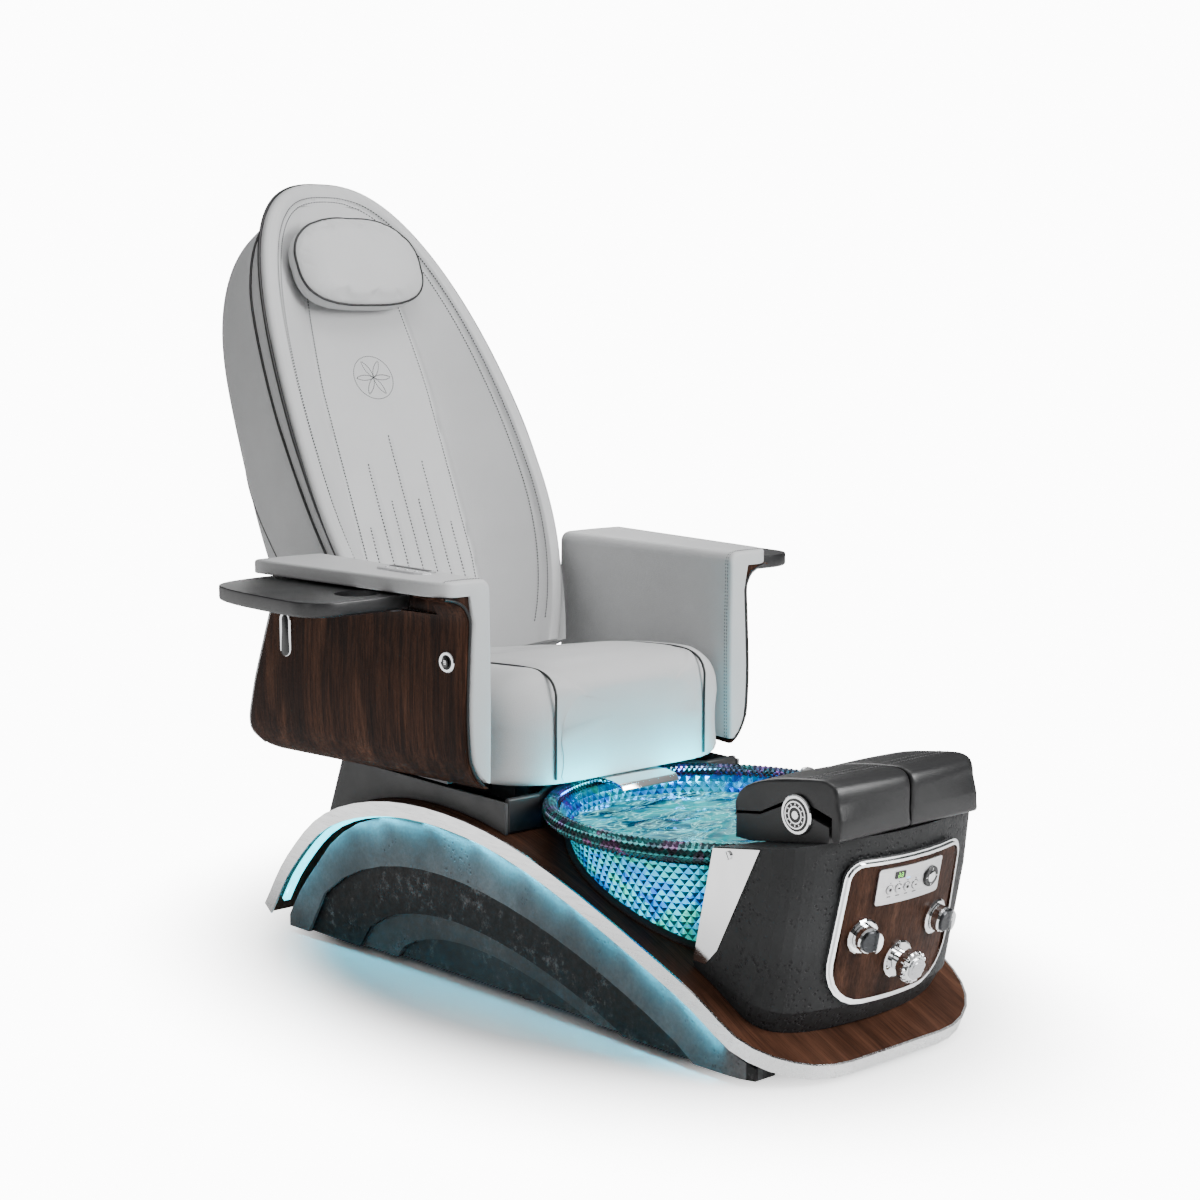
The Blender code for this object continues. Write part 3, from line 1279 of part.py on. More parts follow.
PILLOW_ROWS = (
    (-0.0029, 0.50), (-0.018, 0.86), (-0.030, 0.97), (-0.042, 1.0), (-0.056, 0.98),
    (-0.068, 0.90), (-0.077, 0.74), (-0.083, 0.48), (-0.085, 0.20),
)
pillow_rings = []
for n, share in PILLOW_ROWS:
    ring = []
    for turn in np.arange(28) * math.tau / 28:
        c, d = math.cos(turn), math.sin(turn)
        x = 0.161 * share * math.copysign(abs(c) ** 0.78, c)
        rise = 0.101 * abs(d) ** 0.95 if d > 0 else -0.096 * abs(d) ** 0.62
        ring.append(on_back(x, 0.853 + rise * (0.5 + 0.5 * share if share > 0.9 else share), n))
    pillow_rings.append(ring)
piece("pillow", loft(pillow_rings), LEATHER, (0, *axle))
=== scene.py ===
"""Pedicure chair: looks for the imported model, piece by piece in the order it is put together."""

import math

import bmesh
import bpy
import numpy as np
from mathutils import Matrix, Vector


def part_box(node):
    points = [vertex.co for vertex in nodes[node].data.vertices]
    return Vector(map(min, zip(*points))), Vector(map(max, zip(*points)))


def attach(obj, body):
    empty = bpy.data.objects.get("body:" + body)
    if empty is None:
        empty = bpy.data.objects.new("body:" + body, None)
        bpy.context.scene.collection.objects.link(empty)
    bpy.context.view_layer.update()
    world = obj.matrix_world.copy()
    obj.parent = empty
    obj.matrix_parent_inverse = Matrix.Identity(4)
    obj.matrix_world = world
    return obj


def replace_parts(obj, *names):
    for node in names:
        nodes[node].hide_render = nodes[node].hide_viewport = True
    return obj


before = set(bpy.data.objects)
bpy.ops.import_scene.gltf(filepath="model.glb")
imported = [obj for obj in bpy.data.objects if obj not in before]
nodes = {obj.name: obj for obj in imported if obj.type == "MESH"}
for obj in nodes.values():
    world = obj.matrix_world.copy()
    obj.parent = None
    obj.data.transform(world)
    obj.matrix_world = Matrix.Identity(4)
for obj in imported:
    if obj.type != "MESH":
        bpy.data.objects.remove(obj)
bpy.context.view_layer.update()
SIDES = (("left", 1), ("right", -1))


# Stage: camera at the photograph's angle, a pale sweep of floor and soft boxes around the chair.
# The camera sees white, while reflections see a studio that is bright above and dim at the sides.
YAW, PITCH = math.radians(-40.738), math.radians(7.982)
CAMERA_PLACE, LENS, SENSOR = (-2.548, -3.264, 1.244), 63.3, 36
WHITE_SEEN, WHITE_MIRRORED, FLOOR_REACH = 12.0, 1.8, 30
behind = Vector((math.sin(YAW) * math.cos(PITCH), -math.cos(YAW) * math.cos(PITCH), math.sin(PITCH)))
lens = bpy.data.cameras.new("camera")
lens.lens = LENS
lens.sensor_width = SENSOR
camera = bpy.data.objects.new("camera", lens)
camera.location = CAMERA_PLACE
camera.rotation_euler = (-behind).to_track_quat("-Z", "Y").to_euler()
bpy.context.collection.objects.link(camera)
bpy.context.scene.camera = camera


def plug(tree, socket, value):
    """Link a socket, or set its constant."""
    if isinstance(value, bpy.types.NodeSocket):
        tree.links.new(value, socket)
    else:
        socket.default_value = value


def fill(tree, step, **sockets):
    """Plug a node's sockets by their names."""
    for key, value in sockets.items():
        plug(tree, step.inputs[key.replace("_", " ")], value)


def add(tree, kind, settings=None, **sockets):
    """A shader node with its settings and its sockets."""
    step = tree.nodes.new(kind)
    for key, value in (settings or {}).items():
        setattr(step, key, value)
    fill(tree, step, **sockets)
    return step


def ramp(tree, factor, *stops):
    """Colours or greys along a factor, as rows of place and colour."""
    step = add(tree, "ShaderNodeValToRGB", Fac=factor)
    band = step.color_ramp
    while len(band.elements) < len(stops):
        band.elements.new(0.5)
    for element, (place, colour) in zip(band.elements, stops):
        element.position = place
        element.color = (colour, colour, colour, 1) if isinstance(colour, (int, float)) else (*colour, 1)
    return step.outputs["Color"]


def between(tree, factor, first, second, way="MIX"):
    """Two colours mixed by a factor."""
    step = add(tree, "ShaderNodeMix", {"data_type": "RGBA", "blend_type": way})
    for place, value in zip((0, 6, 7), (factor, first, second)):
        plug(tree, step.inputs[place], (*value, 1) if isinstance(value, tuple) else value)
    return step.outputs[2]


def combine(tree, operation, *values):
    """A sum, a product or the like."""
    step = add(tree, "ShaderNodeMath", {"operation": operation})
    for socket, value in zip(step.inputs, values):
        plug(tree, socket, value)
    return step.outputs[0]


def rescaled(tree, value, start, end, low=0.0, high=1.0, way="LINEAR"):
    """A value's range brought to another range."""
    step = add(tree, "ShaderNodeMapRange", {"interpolation_type": way}, Value=value)
    fill(tree, step, From_Min=start, From_Max=end, To_Min=low, To_Max=high)
    return step.outputs["Result"]


def axis_of(tree, vector, axis):
    return add(tree, "ShaderNodeSeparateXYZ", Vector=vector).outputs[axis]


def own_place(tree):
    """The piece's own coordinates in metres."""
    return add(tree, "ShaderNodeTexCoord").outputs["Object"]


studio = bpy.data.worlds.new("studio")
studio.use_nodes = True
bpy.context.scene.world = studio
sky = studio.node_tree
sky.nodes.clear()
seen = add(sky, "ShaderNodeLightPath").outputs["Is Camera Ray"]
height = rescaled(sky, axis_of(sky, add(sky, "ShaderNodeTexCoord").outputs["Generated"], "Z"), -1.0, 1.0)
dome = ramp(sky, height, (0.0, 0.55), (0.48, 0.25), (0.52, 0.06), (0.62, 0.14), (0.78, 0.7), (1.0, 1.0))
around = add(sky, "ShaderNodeBackground", Color=dome, Strength=0.55)
backdrop = add(sky, "ShaderNodeBackground", Color=(1, 1, 1, 1), Strength=WHITE_SEEN)
chosen = add(sky, "ShaderNodeMixShader", Fac=seen)
sky.links.new(around.outputs[0], chosen.inputs[1])
sky.links.new(backdrop.outputs[0], chosen.inputs[2])
sky.links.new(chosen.outputs[0], add(sky, "ShaderNodeOutputWorld").inputs["Surface"])


def lamp_of(name, wide, high, power, colour):
    """A rectangular lamp, still to be placed."""
    light = bpy.data.lights.new(name, "AREA")
    light.shape = "RECTANGLE"
    light.size, light.size_y = wide, high
    light.energy = power
    light.color = colour
    lamp = bpy.data.objects.new(name, light)
    bpy.context.collection.objects.link(lamp)
    return lamp


def soft_box(name, place, target, wide, high, power, colour=(1, 1, 1)):
    lamp = lamp_of(name, wide, high, power, colour)
    lamp.location = place
    lamp.rotation_euler = (Vector(target) - Vector(place)).to_track_quat("-Z", "Y").to_euler()


soft_box("top_box", (0.2, -0.8, 4.2), (0, -0.3, 0.6), 3.2, 3.2, 105)
soft_box("front_box", (1.6, -4.2, 2.6), (0, -0.2, 0.7), 2.2, 2.0, 300)
soft_box("left_box", (-4.0, -0.6, 1.9), (0, -0.2, 0.7), 1.6, 2.6, 20)
soft_box("back_box", (2.2, 3.2, 2.8), (0, 0.2, 0.8), 2.0, 2.0, 60)

floor_mesh = bpy.data.meshes.new("floor")
corners = [(FLOOR_REACH * u, FLOOR_REACH * v, 0) for u, v in ((-1, -1), (1, -1), (1, 1), (-1, 1))]
floor_mesh.from_pydata(corners, [], [(0, 1, 2, 3)])
floor = bpy.data.objects.new("floor", floor_mesh)
bpy.context.collection.objects.link(floor)
pale = bpy.data.materials.new("pale_floor")
pale.use_nodes = True
sweep = pale.node_tree
pale_skin = sweep.nodes["Principled BSDF"]
fill(sweep, pale_skin, Base_Color=(0.93, 0.93, 0.93, 1), Roughness=0.30)
spread = add(sweep, "ShaderNodeMapping", Vector=own_place(sweep))
fill(sweep, spread, Location=(0, 0.26, 0), Scale=(1.25, 0.88, 1))
away = add(sweep, "ShaderNodeVectorMath", {"operation": "LENGTH"}, Vector=spread.outputs["Vector"])
fading = rescaled(sweep, away.outputs["Value"], 0.52, 1.10, way="SMOOTHSTEP")
ray = add(sweep, "ShaderNodeLightPath").outputs
leftward = rescaled(sweep, axis_of(sweep, own_place(sweep), "X"), -0.5, -1.0)
reflected = combine(sweep, "MULTIPLY", leftward, ray["Is Glossy Ray"])
looked_at = combine(sweep, "MAXIMUM", ray["Is Camera Ray"], reflected)
power = rescaled(sweep, ray["Is Camera Ray"], 0.0, 1.0, WHITE_MIRRORED, WHITE_SEEN)
white = add(sweep, "ShaderNodeEmission", Color=(1, 1, 1, 1), Strength=power)
swept_floor = add(sweep, "ShaderNodeMixShader", Fac=combine(sweep, "MULTIPLY", fading, looked_at))
sweep.links.new(pale_skin.outputs[0], swept_floor.inputs[1])
sweep.links.new(white.outputs[0], swept_floor.inputs[2])
sweep.links.new(swept_floor.outputs[0], sweep.nodes["Material Output"].inputs["Surface"])
floor.data.materials.append(pale)


# Deck and its band: a walnut-faced board bent over the arch, grain along its length, with a
# brushed metal strip let into its edge all the way round.
def skin(name, roughness=0.5, metallic=0.0):
    """A new material with its tree and its shader."""
    material = bpy.data.materials.new(name)
    material.use_nodes = True
    tree = material.node_tree
    shader = tree.nodes["Principled BSDF"]
    fill(tree, shader, Roughness=roughness, Metallic=metallic)
    return material, tree, shader


def place_on(tree, scale=(1, 1, 1), turn=(0, 0, 0)):
    """The piece's own coordinates, stretched and turned as wanted."""
    step = add(tree, "ShaderNodeMapping", Vector=own_place(tree), Scale=scale, Rotation=turn)
    return step.outputs["Vector"]


def noise(tree, vector, scale, detail=4.0, roughness=0.55, distortion=0.0):
    step = add(tree, "ShaderNodeTexNoise", Vector=vector, Scale=scale, Detail=detail, Roughness=roughness)
    fill(tree, step, Distortion=distortion)
    return step.outputs["Fac"]


def toned(colour, share):
    return tuple(share * part for part in colour)


def raise_by(tree, shader, height, distance, strength=1.0, under=None):
    """Bump from a height, on top of another bump if there is one."""
    step = add(tree, "ShaderNodeBump", Height=height, Distance=distance, Strength=strength)
    if under:
        tree.links.new(under, step.inputs["Normal"])
    fill(tree, shader, Normal=step.outputs["Normal"])
    return step.outputs["Normal"]


def dress(material, *names):
    """Give carried-over solids their finish."""
    for name in names:
        mesh = nodes[name].data
        mesh.materials.clear()
        mesh.materials.append(material)


def walnut(name, along, light=1.0, contrast=1.0):
    """Oiled walnut with figure, streaks and pores drawn out along the grain."""
    material, tree, shader = skin(name)

    def drawn_out(across, lengthwise):
        return place_on(tree, [lengthwise if axis in along else across for axis in "XYZ"])

    figure = noise(tree, drawn_out(22, 2.4), 1.0, 5.0, 0.6, 0.9)
    streak = noise(tree, drawn_out(150, 3.5), 1.0, 4.0, 0.65)
    fine = noise(tree, drawn_out(480, 14), 1.0, 4.0, 0.7)
    tones = np.array((
        (0.011, 0.0038, 0.0019), (0.026, 0.0098, 0.0052), (0.050, 0.0205, 0.0115), (0.088, 0.0400, 0.0235),
    ))
    middle = tones.mean(axis=0)
    tones = light * (middle + contrast * (tones - middle))
    body = ramp(tree, figure, *zip((0.30, 0.45, 0.57, 0.72), map(tuple, tones)))
    lined = between(tree, 0.85 * contrast, body, ramp(tree, streak, (0.36, 0.40), (0.62, 1.45)), "MULTIPLY")
    pored = between(tree, 0.60, lined, ramp(tree, fine, (0.38, 0.35), (0.55, 1.05)), "MULTIPLY")
    fill(tree, shader, Base_Color=pored, Roughness=ramp(tree, fine, (0.3, 0.58), (0.7, 0.42)))
    fill(tree, shader, Specular_IOR_Level=0.10)
    raise_by(tree, shader, fine, 0.0004, 0.5)
    return material


def brushed(name, colour, along, roughness):
    """Metal with fine brushing along one axis."""
    material, tree, shader = skin(name, roughness, 1.0)
    lines = noise(tree, place_on(tree, [6.0 if axis == along else 420.0 for axis in "XYZ"]), 1.0, 3.0, 0.6)
    cloud = noise(tree, place_on(tree), 9.0, 3.0)
    shade = ramp(tree, lines, (0.3, toned(colour, 0.86)), (0.7, colour))
    clouded = between(tree, 0.25, shade, ramp(tree, cloud, (0.3, 0.8), (0.7, 1.1)), "MULTIPLY")
    sheen = ramp(tree, lines, (0.3, roughness + 0.08), (0.7, roughness - 0.06))
    fill(tree, shader, Base_Color=clouded, Roughness=sheen)
    raise_by(tree, shader, lines, 0.00008, 0.5)
    return material


dress(walnut("deck_walnut", "YZ", 1.35, 0.45), "deck")
dress(brushed("band_metal", (0.96, 0.963, 0.967), "Y", 0.24), "deck_band")


# Side panels: dark concrete-look castings with three stepped crescents, cloudy and lightly pitted.
# Every other step is left rougher and darker. They are bolted to the base frame under the deck.
PANEL_FACE_X, PANEL_TAPER, PANEL_STEP = 0.328, 0.070, 0.011


def cast_stone(name, pits, light=1.0):
    """Dark cast stone: clouded, with clusters of small pits painted near-black as painted shade inside them.
    """
    material, tree, shader = skin(name)
    spot = place_on(tree)
    cloud = noise(tree, spot, 5.0, 6.0, 0.62)
    grit = noise(tree, spot, 160.0, 4.0, 0.6)
    cells = add(tree, "ShaderNodeTexVoronoi", Vector=spot, Scale=105.0, Randomness=1.0).outputs["Distance"]
    where = noise(tree, spot, 7.0, 4.0, 0.65)
    cluster = ramp(tree, where, (0.62 - 0.22 * pits, 0), (0.80 - 0.22 * pits, 1))
    pitted = between(tree, 1.0, ramp(tree, cells, (0.16, 1), (0.34, 0)), cluster, "MULTIPLY")
    tones = ((0.25, (0.018, 0.019, 0.020)), (0.5, (0.040, 0.042, 0.044)), (0.8, (0.080, 0.083, 0.087)))
    body = ramp(tree, cloud, *[(place, toned(tone, light)) for place, tone in tones])
    gritty = between(tree, 0.5, body, ramp(tree, grit, (0.35, 0.72), (0.7, 1.25)), "MULTIPLY")
    # Painted shade: the pits are painted near-black.
    fill(tree, shader, Base_Color=between(tree, pitted, gritty, (0.008, 0.008, 0.009)))
    fill(tree, shader, Roughness=ramp(tree, grit, (0.3, 0.46), (0.7, 0.66)), Specular_IOR_Level=0.30)
    low = raise_by(tree, shader, grit, 0.0006, 0.35)
    deep = add(tree, "ShaderNodeInvert", Color=pitted).outputs["Color"]
    raise_by(tree, shader, deep, 0.0022, 0.9, low)
    return material


def stepped_stone(name):
    """Clouded stone on the outer face, darker and rougher on every other step of the crescents."""
    material = cast_stone(name, 0.35, 2.5)
    tree = material.node_tree
    shader = tree.nodes["Principled BSDF"]
    reach = combine(tree, "ABSOLUTE", axis_of(tree, own_place(tree), "X"))
    face = combine(tree, "MULTIPLY_ADD", axis_of(tree, own_place(tree), "Y"), PANEL_TAPER, PANEL_FACE_X)
    depth = combine(tree, "SUBTRACT", face, reach)
    steps = rescaled(tree, depth, -0.5 * PANEL_STEP, 3.5 * PANEL_STEP)
    dark = ramp(
        tree, steps, (0.0, 0.0), (0.25, 0.0), (0.27, 1.0), (0.50, 1.0),
        (0.52, 0.35), (0.75, 0.35), (0.77, 0.7),
    )
    rough = ramp(tree, noise(tree, place_on(tree), 55.0, 8.0, 0.8), (0.40, 0.0), (0.62, 1.0))
    blotch = ramp(tree, noise(tree, place_on(tree), 14.0, 6.0, 0.7), (0.35, 0.15), (0.65, 1.0))
    pits = between(tree, 1.0, rough, blotch, "MULTIPLY")
    tones = ((0.0, (0.002, 0.002, 0.0022)), (0.45, (0.012, 0.0125, 0.013)), (1.0, (0.13, 0.133, 0.137)))
    plain = shader.inputs["Base Color"].links[0].from_socket
    fill(tree, shader, Base_Color=between(tree, dark, plain, ramp(tree, pits, *tones)))
    return material


dress(stepped_stone("panel_stone"), "side_panel_left", "side_panel_right")


# Light strips: frosted cyan bars clipped under the deck's long edges and lit from inside. A row of
# small lamps under each one casts its light.
GLOW, GLOW_POWER, GLOW_WIDE = (0.05, 0.72, 1.0), 0.12, 0.006
GLOW_SPREAD, GLOW_LEAN = math.radians(100), 0.35
STRIP_BELOW, STRIP_OUT = 0.0305, 0.0055
DECK_LINE = (
    (0.285, 0.100), (0.235, 0.160), (0.110, 0.267), (-0.080, 0.322),
    (-0.300, 0.322), (-0.520, 0.271), (-0.820, 0.153), (-0.935, 0.092),
)


def glowing(name, colour, strength):
    """Frosted plastic lit from inside."""
    material, tree, shader = skin(name, 0.35)
    frost = noise(tree, place_on(tree), 60.0, 2.0)
    lit = ramp(tree, frost, (0.3, toned(colour, 0.85)), (0.7, colour))
    fill(tree, shader, Base_Color=(*colour, 1), Emission_Color=lit, Emission_Strength=strength)
    return material


def curve_through(points, count):
    """Evenly spaced points on a smooth curve through the given ones."""
    rows = np.array(points, float)
    ends = np.vstack([2 * rows[0] - rows[1], rows, 2 * rows[-1] - rows[-2]])
    fine = []
    for k in range(len(rows) - 1):
        a, b, c, d = ends[k : k + 4]
        for t in np.linspace(0, 1, 24, endpoint=False):
            bend = (2 * a - 5 * b + 4 * c - d) * t**2 + (3 * b - a - 3 * c + d) * t**3
            fine.append(0.5 * (2 * b + (c - a) * t + bend))
    fine = np.array(fine + [rows[-1]])
    run = np.concatenate([[0], np.cumsum(np.linalg.norm(np.diff(fine, axis=0), axis=1))])
    steps = np.linspace(0, run[-1], count)
    return np.stack([np.interp(steps, run, fine[:, axis]) for axis in range(fine.shape[1])], axis=1)


dress(glowing("strip_light", (0.03, 0.72, 0.90), 5.0), "light_strip_left", "light_strip_right")
glow_line = curve_through(DECK_LINE, 11)
for sign in (-1, 1):
    for (y0, z0), (y1, z1) in zip(glow_line[:-1], glow_line[1:]):
        along = Vector((0, y1 - y0, z1 - z0))
        under = Vector((0, z1 - z0, y0 - y1)).normalized()
        under = under if under.z < 0 else -under
        middle = Vector((0, (y0 + y1) / 2, (z0 + z1) / 2)) + under * STRIP_BELOW
        middle.x = sign * (PANEL_FACE_X + STRIP_OUT + PANEL_TAPER * middle.y)
        lamp = lamp_of("strip_glow", along.length, GLOW_WIDE, GLOW_POWER, GLOW)
        lamp.data.spread = GLOW_SPREAD
        aim = (under + Vector((-sign * GLOW_LEAN, 0, 0))).normalized()
        way = along.normalized()
        turned = Matrix((way, aim.cross(way) * -1, -aim)).transposed().to_4x4()
        lamp.matrix_world = Matrix.Translation(middle) @ turned


# Base frame and pedestal: welded and powder-coated steel inside, a grey moulded cowl outside. The
# recline motor has a black moulded case.
def moulded(name, colour, roughness, grain=0.0003, scale=900.0):
    """Moulded or coated surface with a fine texture and uneven sheen."""
    material, tree, shader = skin(name, roughness)
    fine = noise(tree, place_on(tree), scale, 3.0, 0.6)
    cloud = noise(tree, place_on(tree), 6.0, 4.0)
    fill(tree, shader, Base_Color=ramp(tree, cloud, (0.3, toned(colour, 0.80)), (0.7, toned(colour, 1.18))))
    fill(tree, shader, Roughness=ramp(tree, cloud, (0.25, roughness + 0.07), (0.75, roughness - 0.07)))
    raise_by(tree, shader, fine, grain, 0.45)
    return material


black_plastic = moulded("black_plastic", (0.008, 0.0082, 0.009), 0.42)
dress(
    moulded("coated_steel", (0.10, 0.10, 0.11), 0.48), "base_frame", "pedestal_frame", "seat_frame",
    "back_board", "tray_pivot_left", "tray_pivot_right", "footrest_hinge_pin",
)
dress(moulded("cowl_grey", (0.058, 0.059, 0.060), 0.58), "pedestal_cowl")
dress(black_plastic, "recline_motor")


# Bright fittings: drain, valves, knobs, caps, spray and bezels in chrome-plated brass, polished. The
# console's side plates are chromed sheets, each held by a screw.
def chrome(name, colour=(0.90, 0.91, 0.92), roughness=0.07):
    """Polished chrome with faint wipe marks."""
    material, tree, shader = skin(name, roughness, 1.0)
    smear = noise(tree, place_on(tree, (30, 30, 8)), 1.0, 4.0)
    fill(tree, shader, Roughness=ramp(tree, smear, (0.3, roughness + 0.05), (0.7, roughness - 0.03)))
    fill(tree, shader, Base_Color=ramp(tree, smear, (0.2, toned(colour, 0.93)), (0.8, colour)))
    return material


bright_chrome = chrome("bright_chrome")
dress(
    bright_chrome, "bowl_drain", "board_frame", "hot_valve", "cold_valve", "diverter_valve", "hot_knob",
    "cold_knob", "diverter_knob", "jet_button", "footrest_cap_left", "footrest_cap_right", "spray_holder",
    "hand_spray", "arm_button_ring", "slot_bezel",
)
dress(chrome("plate_chrome", (0.95, 0.95, 0.955), 0.09), "side_plate_left", "side_plate_right")


# Foot bowl: a glass shell pressed with a lattice of diamond scales, coated to shimmer from blue to
# green, with a rolled rim of finer scales. It stands in the deck's rubber gasket.
# The scales' facets carry painted light and shade by their lean, and glow in that painted colour.
BOWL_Y, BOWL_LONG = -0.632, 1.043
WALL_COLUMNS, RIM_COLUMNS = 96, 184
SCALE_HIGH, BEAD_HIGH = 0.0032, 0.0019
FACET_CREASE = 8
WALL_OUTER = (
    (0.165, 0.125), (0.195, 0.135), (0.218, 0.160), (0.232, 0.200),
    (0.245, 0.250), (0.258, 0.300), (0.273, 0.338), (0.292, 0.358),
)
WALL_INNER = (
    (0.286, 0.3585), (0.268, 0.340), (0.252, 0.302), (0.238, 0.250),
    (0.225, 0.201), (0.211, 0.164), (0.190, 0.142), (0.165, 0.132),
)
WALL_FLOOR = (
    (0.11, 0.132), (0.06, 0.132), (0.0265, 0.132), (0.0265, 0.1253), (0.06, 0.1253), (0.11, 0.1253),
)
RIM_LOW, RIM_HIGH = 0.330, 0.3725
RIM_SECTION = (
    (0.277, RIM_LOW), (0.291, 0.3345), (0.302, 0.342), (0.3085, 0.351), (0.309, 0.360), (0.3045, 0.3675),
    (0.2975, 0.371), (0.290, 0.3685), (0.284, 0.361), (0.279, 0.350), (0.275, 0.339), (0.277, RIM_LOW),
)


def closed_mesh(name, points, faces):
    """A mesh with its faces turned outward."""
    mesh = bpy.data.meshes.new(name)
    mesh.from_pydata([tuple(map(float, point)) for point in points], [], faces)
    work = bmesh.new()
    work.from_mesh(mesh)
    bmesh.ops.remove_doubles(work, verts=work.verts, dist=1e-6)
    bmesh.ops.recalc_face_normals(work, faces=work.faces)
    work.to_mesh(mesh)
    work.free()
    return mesh


def carried(name, mesh, material, body, crease):
    """A mesh as a piece of its own, smooth up to the crease angle and carried by a body."""
    mesh.shade_smooth()
    mesh.set_sharp_from_angle(angle=math.radians(crease))
    mesh.materials.append(material)
    thing = bpy.data.objects.new(name, mesh)
    bpy.context.collection.objects.link(thing)
    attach(thing, body)
    return thing


def build(name, shape, material, body, crease):
    """A piece from the points and faces of a closed shape."""
    return carried(name, closed_mesh(name, *shape), material, body, crease)


def on_bowl(reach, z, turn):
    return (reach * math.cos(turn), BOWL_Y + BOWL_LONG * reach * math.sin(turn), z)


def scaled_ring(profile, columns, high):
    """Diamond scales on a closed profile of (radius, z) turned round the bowl's axis."""
    rows = len(profile)
    turns = np.arange(columns) * math.tau / columns
    points = []
    for k, (reach, z) in enumerate(profile):
        points += [on_bowl(reach, z, turn + (k % 2) * math.pi / columns) for turn in turns]
    faces = []
    for k in range(rows):
        before, here, after = (np.array(profile[(k + step) % rows]) for step in (-1, 0, 1))
        way = after - before
        out = np.array((way[1], -way[0])) / (np.linalg.norm(way) + 1e-9)
        reach, z = here + out * min(high, 0.28 * float(np.linalg.norm(way)))
        shift = k % 2
        for i in range(columns):
            west, east = k * columns + i, k * columns + (i + 1) % columns
            low, top = (((k + step) % rows) * columns + (i + shift) % columns for step in (-1, 1))
            centre = len(points)
            points.append(on_bowl(reach, z, turns[i] + (shift + 1) * math.pi / columns))
            faces += [(west, low, centre), (low, east, centre), (east, top, centre), (top, west, centre)]
    return points, faces


def shimmer(name, metallic, glow, *stops):
    """Coated glass whose colour drifts over the bowl, with painted light and shade on each facet by its
    lean, glowing in that painted colour.
    """
    material, tree, shader = skin(name, 0.10, metallic)
    drift = noise(tree, place_on(tree, (1, 1, 1.6)), 5.5, 3.0, 0.6)
    flecks = add(tree, "ShaderNodeTexVoronoi", Vector=place_on(tree), Scale=62.0).outputs["Color"]
    fleck = add(tree, "ShaderNodeSeparateColor", Color=flecks).outputs["Red"]
    hue = combine(tree, "ADD", drift, rescaled(tree, fleck, 0.0, 1.0, -0.09, 0.09))
    # Painted light and shade: each facet is lighter or darker by how far it leans up or down.
    lean = axis_of(tree, add(tree, "ShaderNodeNewGeometry").outputs["True Normal"], "Z")
    lean_for_painted_light = rescaled(tree, lean, -0.6, 0.6)
    lit = ramp(tree, lean_for_painted_light, (0.05, 0.10), (0.27, 0.30), (0.42, 0.75), (0.52, 1.20), (0.68, 0.9), (0.92, 0.30))
    colour = between(tree, 1.0, ramp(tree, hue, *stops), lit, "MULTIPLY")
    # The painted colour also glows: a painted glow.
    fill(tree, shader, Base_Color=colour, Emission_Color=colour, Emission_Strength=glow)
    fill(tree, shader, Roughness=ramp(tree, drift, (0.3, 0.06), (0.7, 0.17)))
    fill(tree, shader, Coat_Weight=0.08, Coat_Roughness=0.05)
    return material


dress(moulded("black_rubber", (0.016, 0.016, 0.016), 0.75, 0.0005, 500.0), "bowl_gasket")
wall_shimmer = shimmer(
    "wall_shimmer", 0.93, 0.75,
    (0.24, (0.16, 0.02, 0.42)), (0.33, (0.0, 0.09, 0.62)), (0.43, (0.0, 0.34, 0.85)),
    (0.53, (0.0, 0.60, 0.86)), (0.62, (0.02, 0.62, 0.52)), (0.70, (0.0, 0.16, 0.13)),
    (0.80, (0.40, 0.03, 0.26)),
)
wall_fine = [*curve_through(WALL_OUTER, 25), *curve_through(WALL_INNER, 25), *WALL_FLOOR]
wall_loop = [tuple(place) for place in wall_fine]
wall_scales = scaled_ring(wall_loop, WALL_COLUMNS, SCALE_HIGH)
bowl_wall = build("bowl_wall", wall_scales, wall_shimmer, "base", FACET_CREASE)
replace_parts(bowl_wall, "bowl")
rim_shimmer = shimmer(
    "rim_shimmer", 0.92, 0.08,
    (0.28, (0.45, 0.12, 0.65)), (0.42, (0.10, 0.12, 0.22)), (0.50, (0.05, 0.09, 0.12)),
    (0.58, (0.04, 0.42, 0.42)), (0.66, (0.10, 0.12, 0.16)), (0.76, (0.60, 0.16, 0.55)),
)
tree = rim_shimmer.node_tree
shader = tree.nodes["Principled BSDF"]
rim_share = rescaled(tree, axis_of(tree, own_place(tree), "Z"), RIM_LOW, RIM_HIGH)
rim_shade = ramp(tree, rim_share, (0.0, 0.9), (0.42, 0.8), (0.52, 0.12), (0.72, 0.20), (0.82, 1.7))
rim_tint = shader.inputs["Base Color"].links[0].from_socket
fill(tree, shader, Base_Color=between(tree, 1.0, rim_tint, rim_shade, "MULTIPLY"))
rim_scales = scaled_ring([*map(tuple, curve_through(RIM_SECTION, 23)[:-1])], RIM_COLUMNS, BEAD_HIGH)
build("bowl_rim", rim_scales, rim_shimmer, "base", FACET_CREASE)


# Foot bath: a shallow fill of lit water, rippled by the jets and calm at the wall, its colour carrying
# painted caustic streaks and a painted glow. A lamp over it casts its light on the front of the seat.
WATER_Z, WATER_REACH, WATER_DEEP, WATER_DRAW = 0.326, 0.2625, 0.012, 0.985
RIPPLE_ROWS, RIPPLE_TURNS = 46, 120


def ripple(x, y):
    slow = math.sin(34 * x + 61 * y + 2.2 * math.sin(9 * x))
    slow += math.sin(-27 * x + 83 * y + 1.7 * math.sin(13 * y))
    quick = math.sin(140 * x + 96 * y + 3 * math.sin(21 * y)) + math.sin(118 * y - 75 * x)
    return 0.0011 * slow + 0.0004 * quick


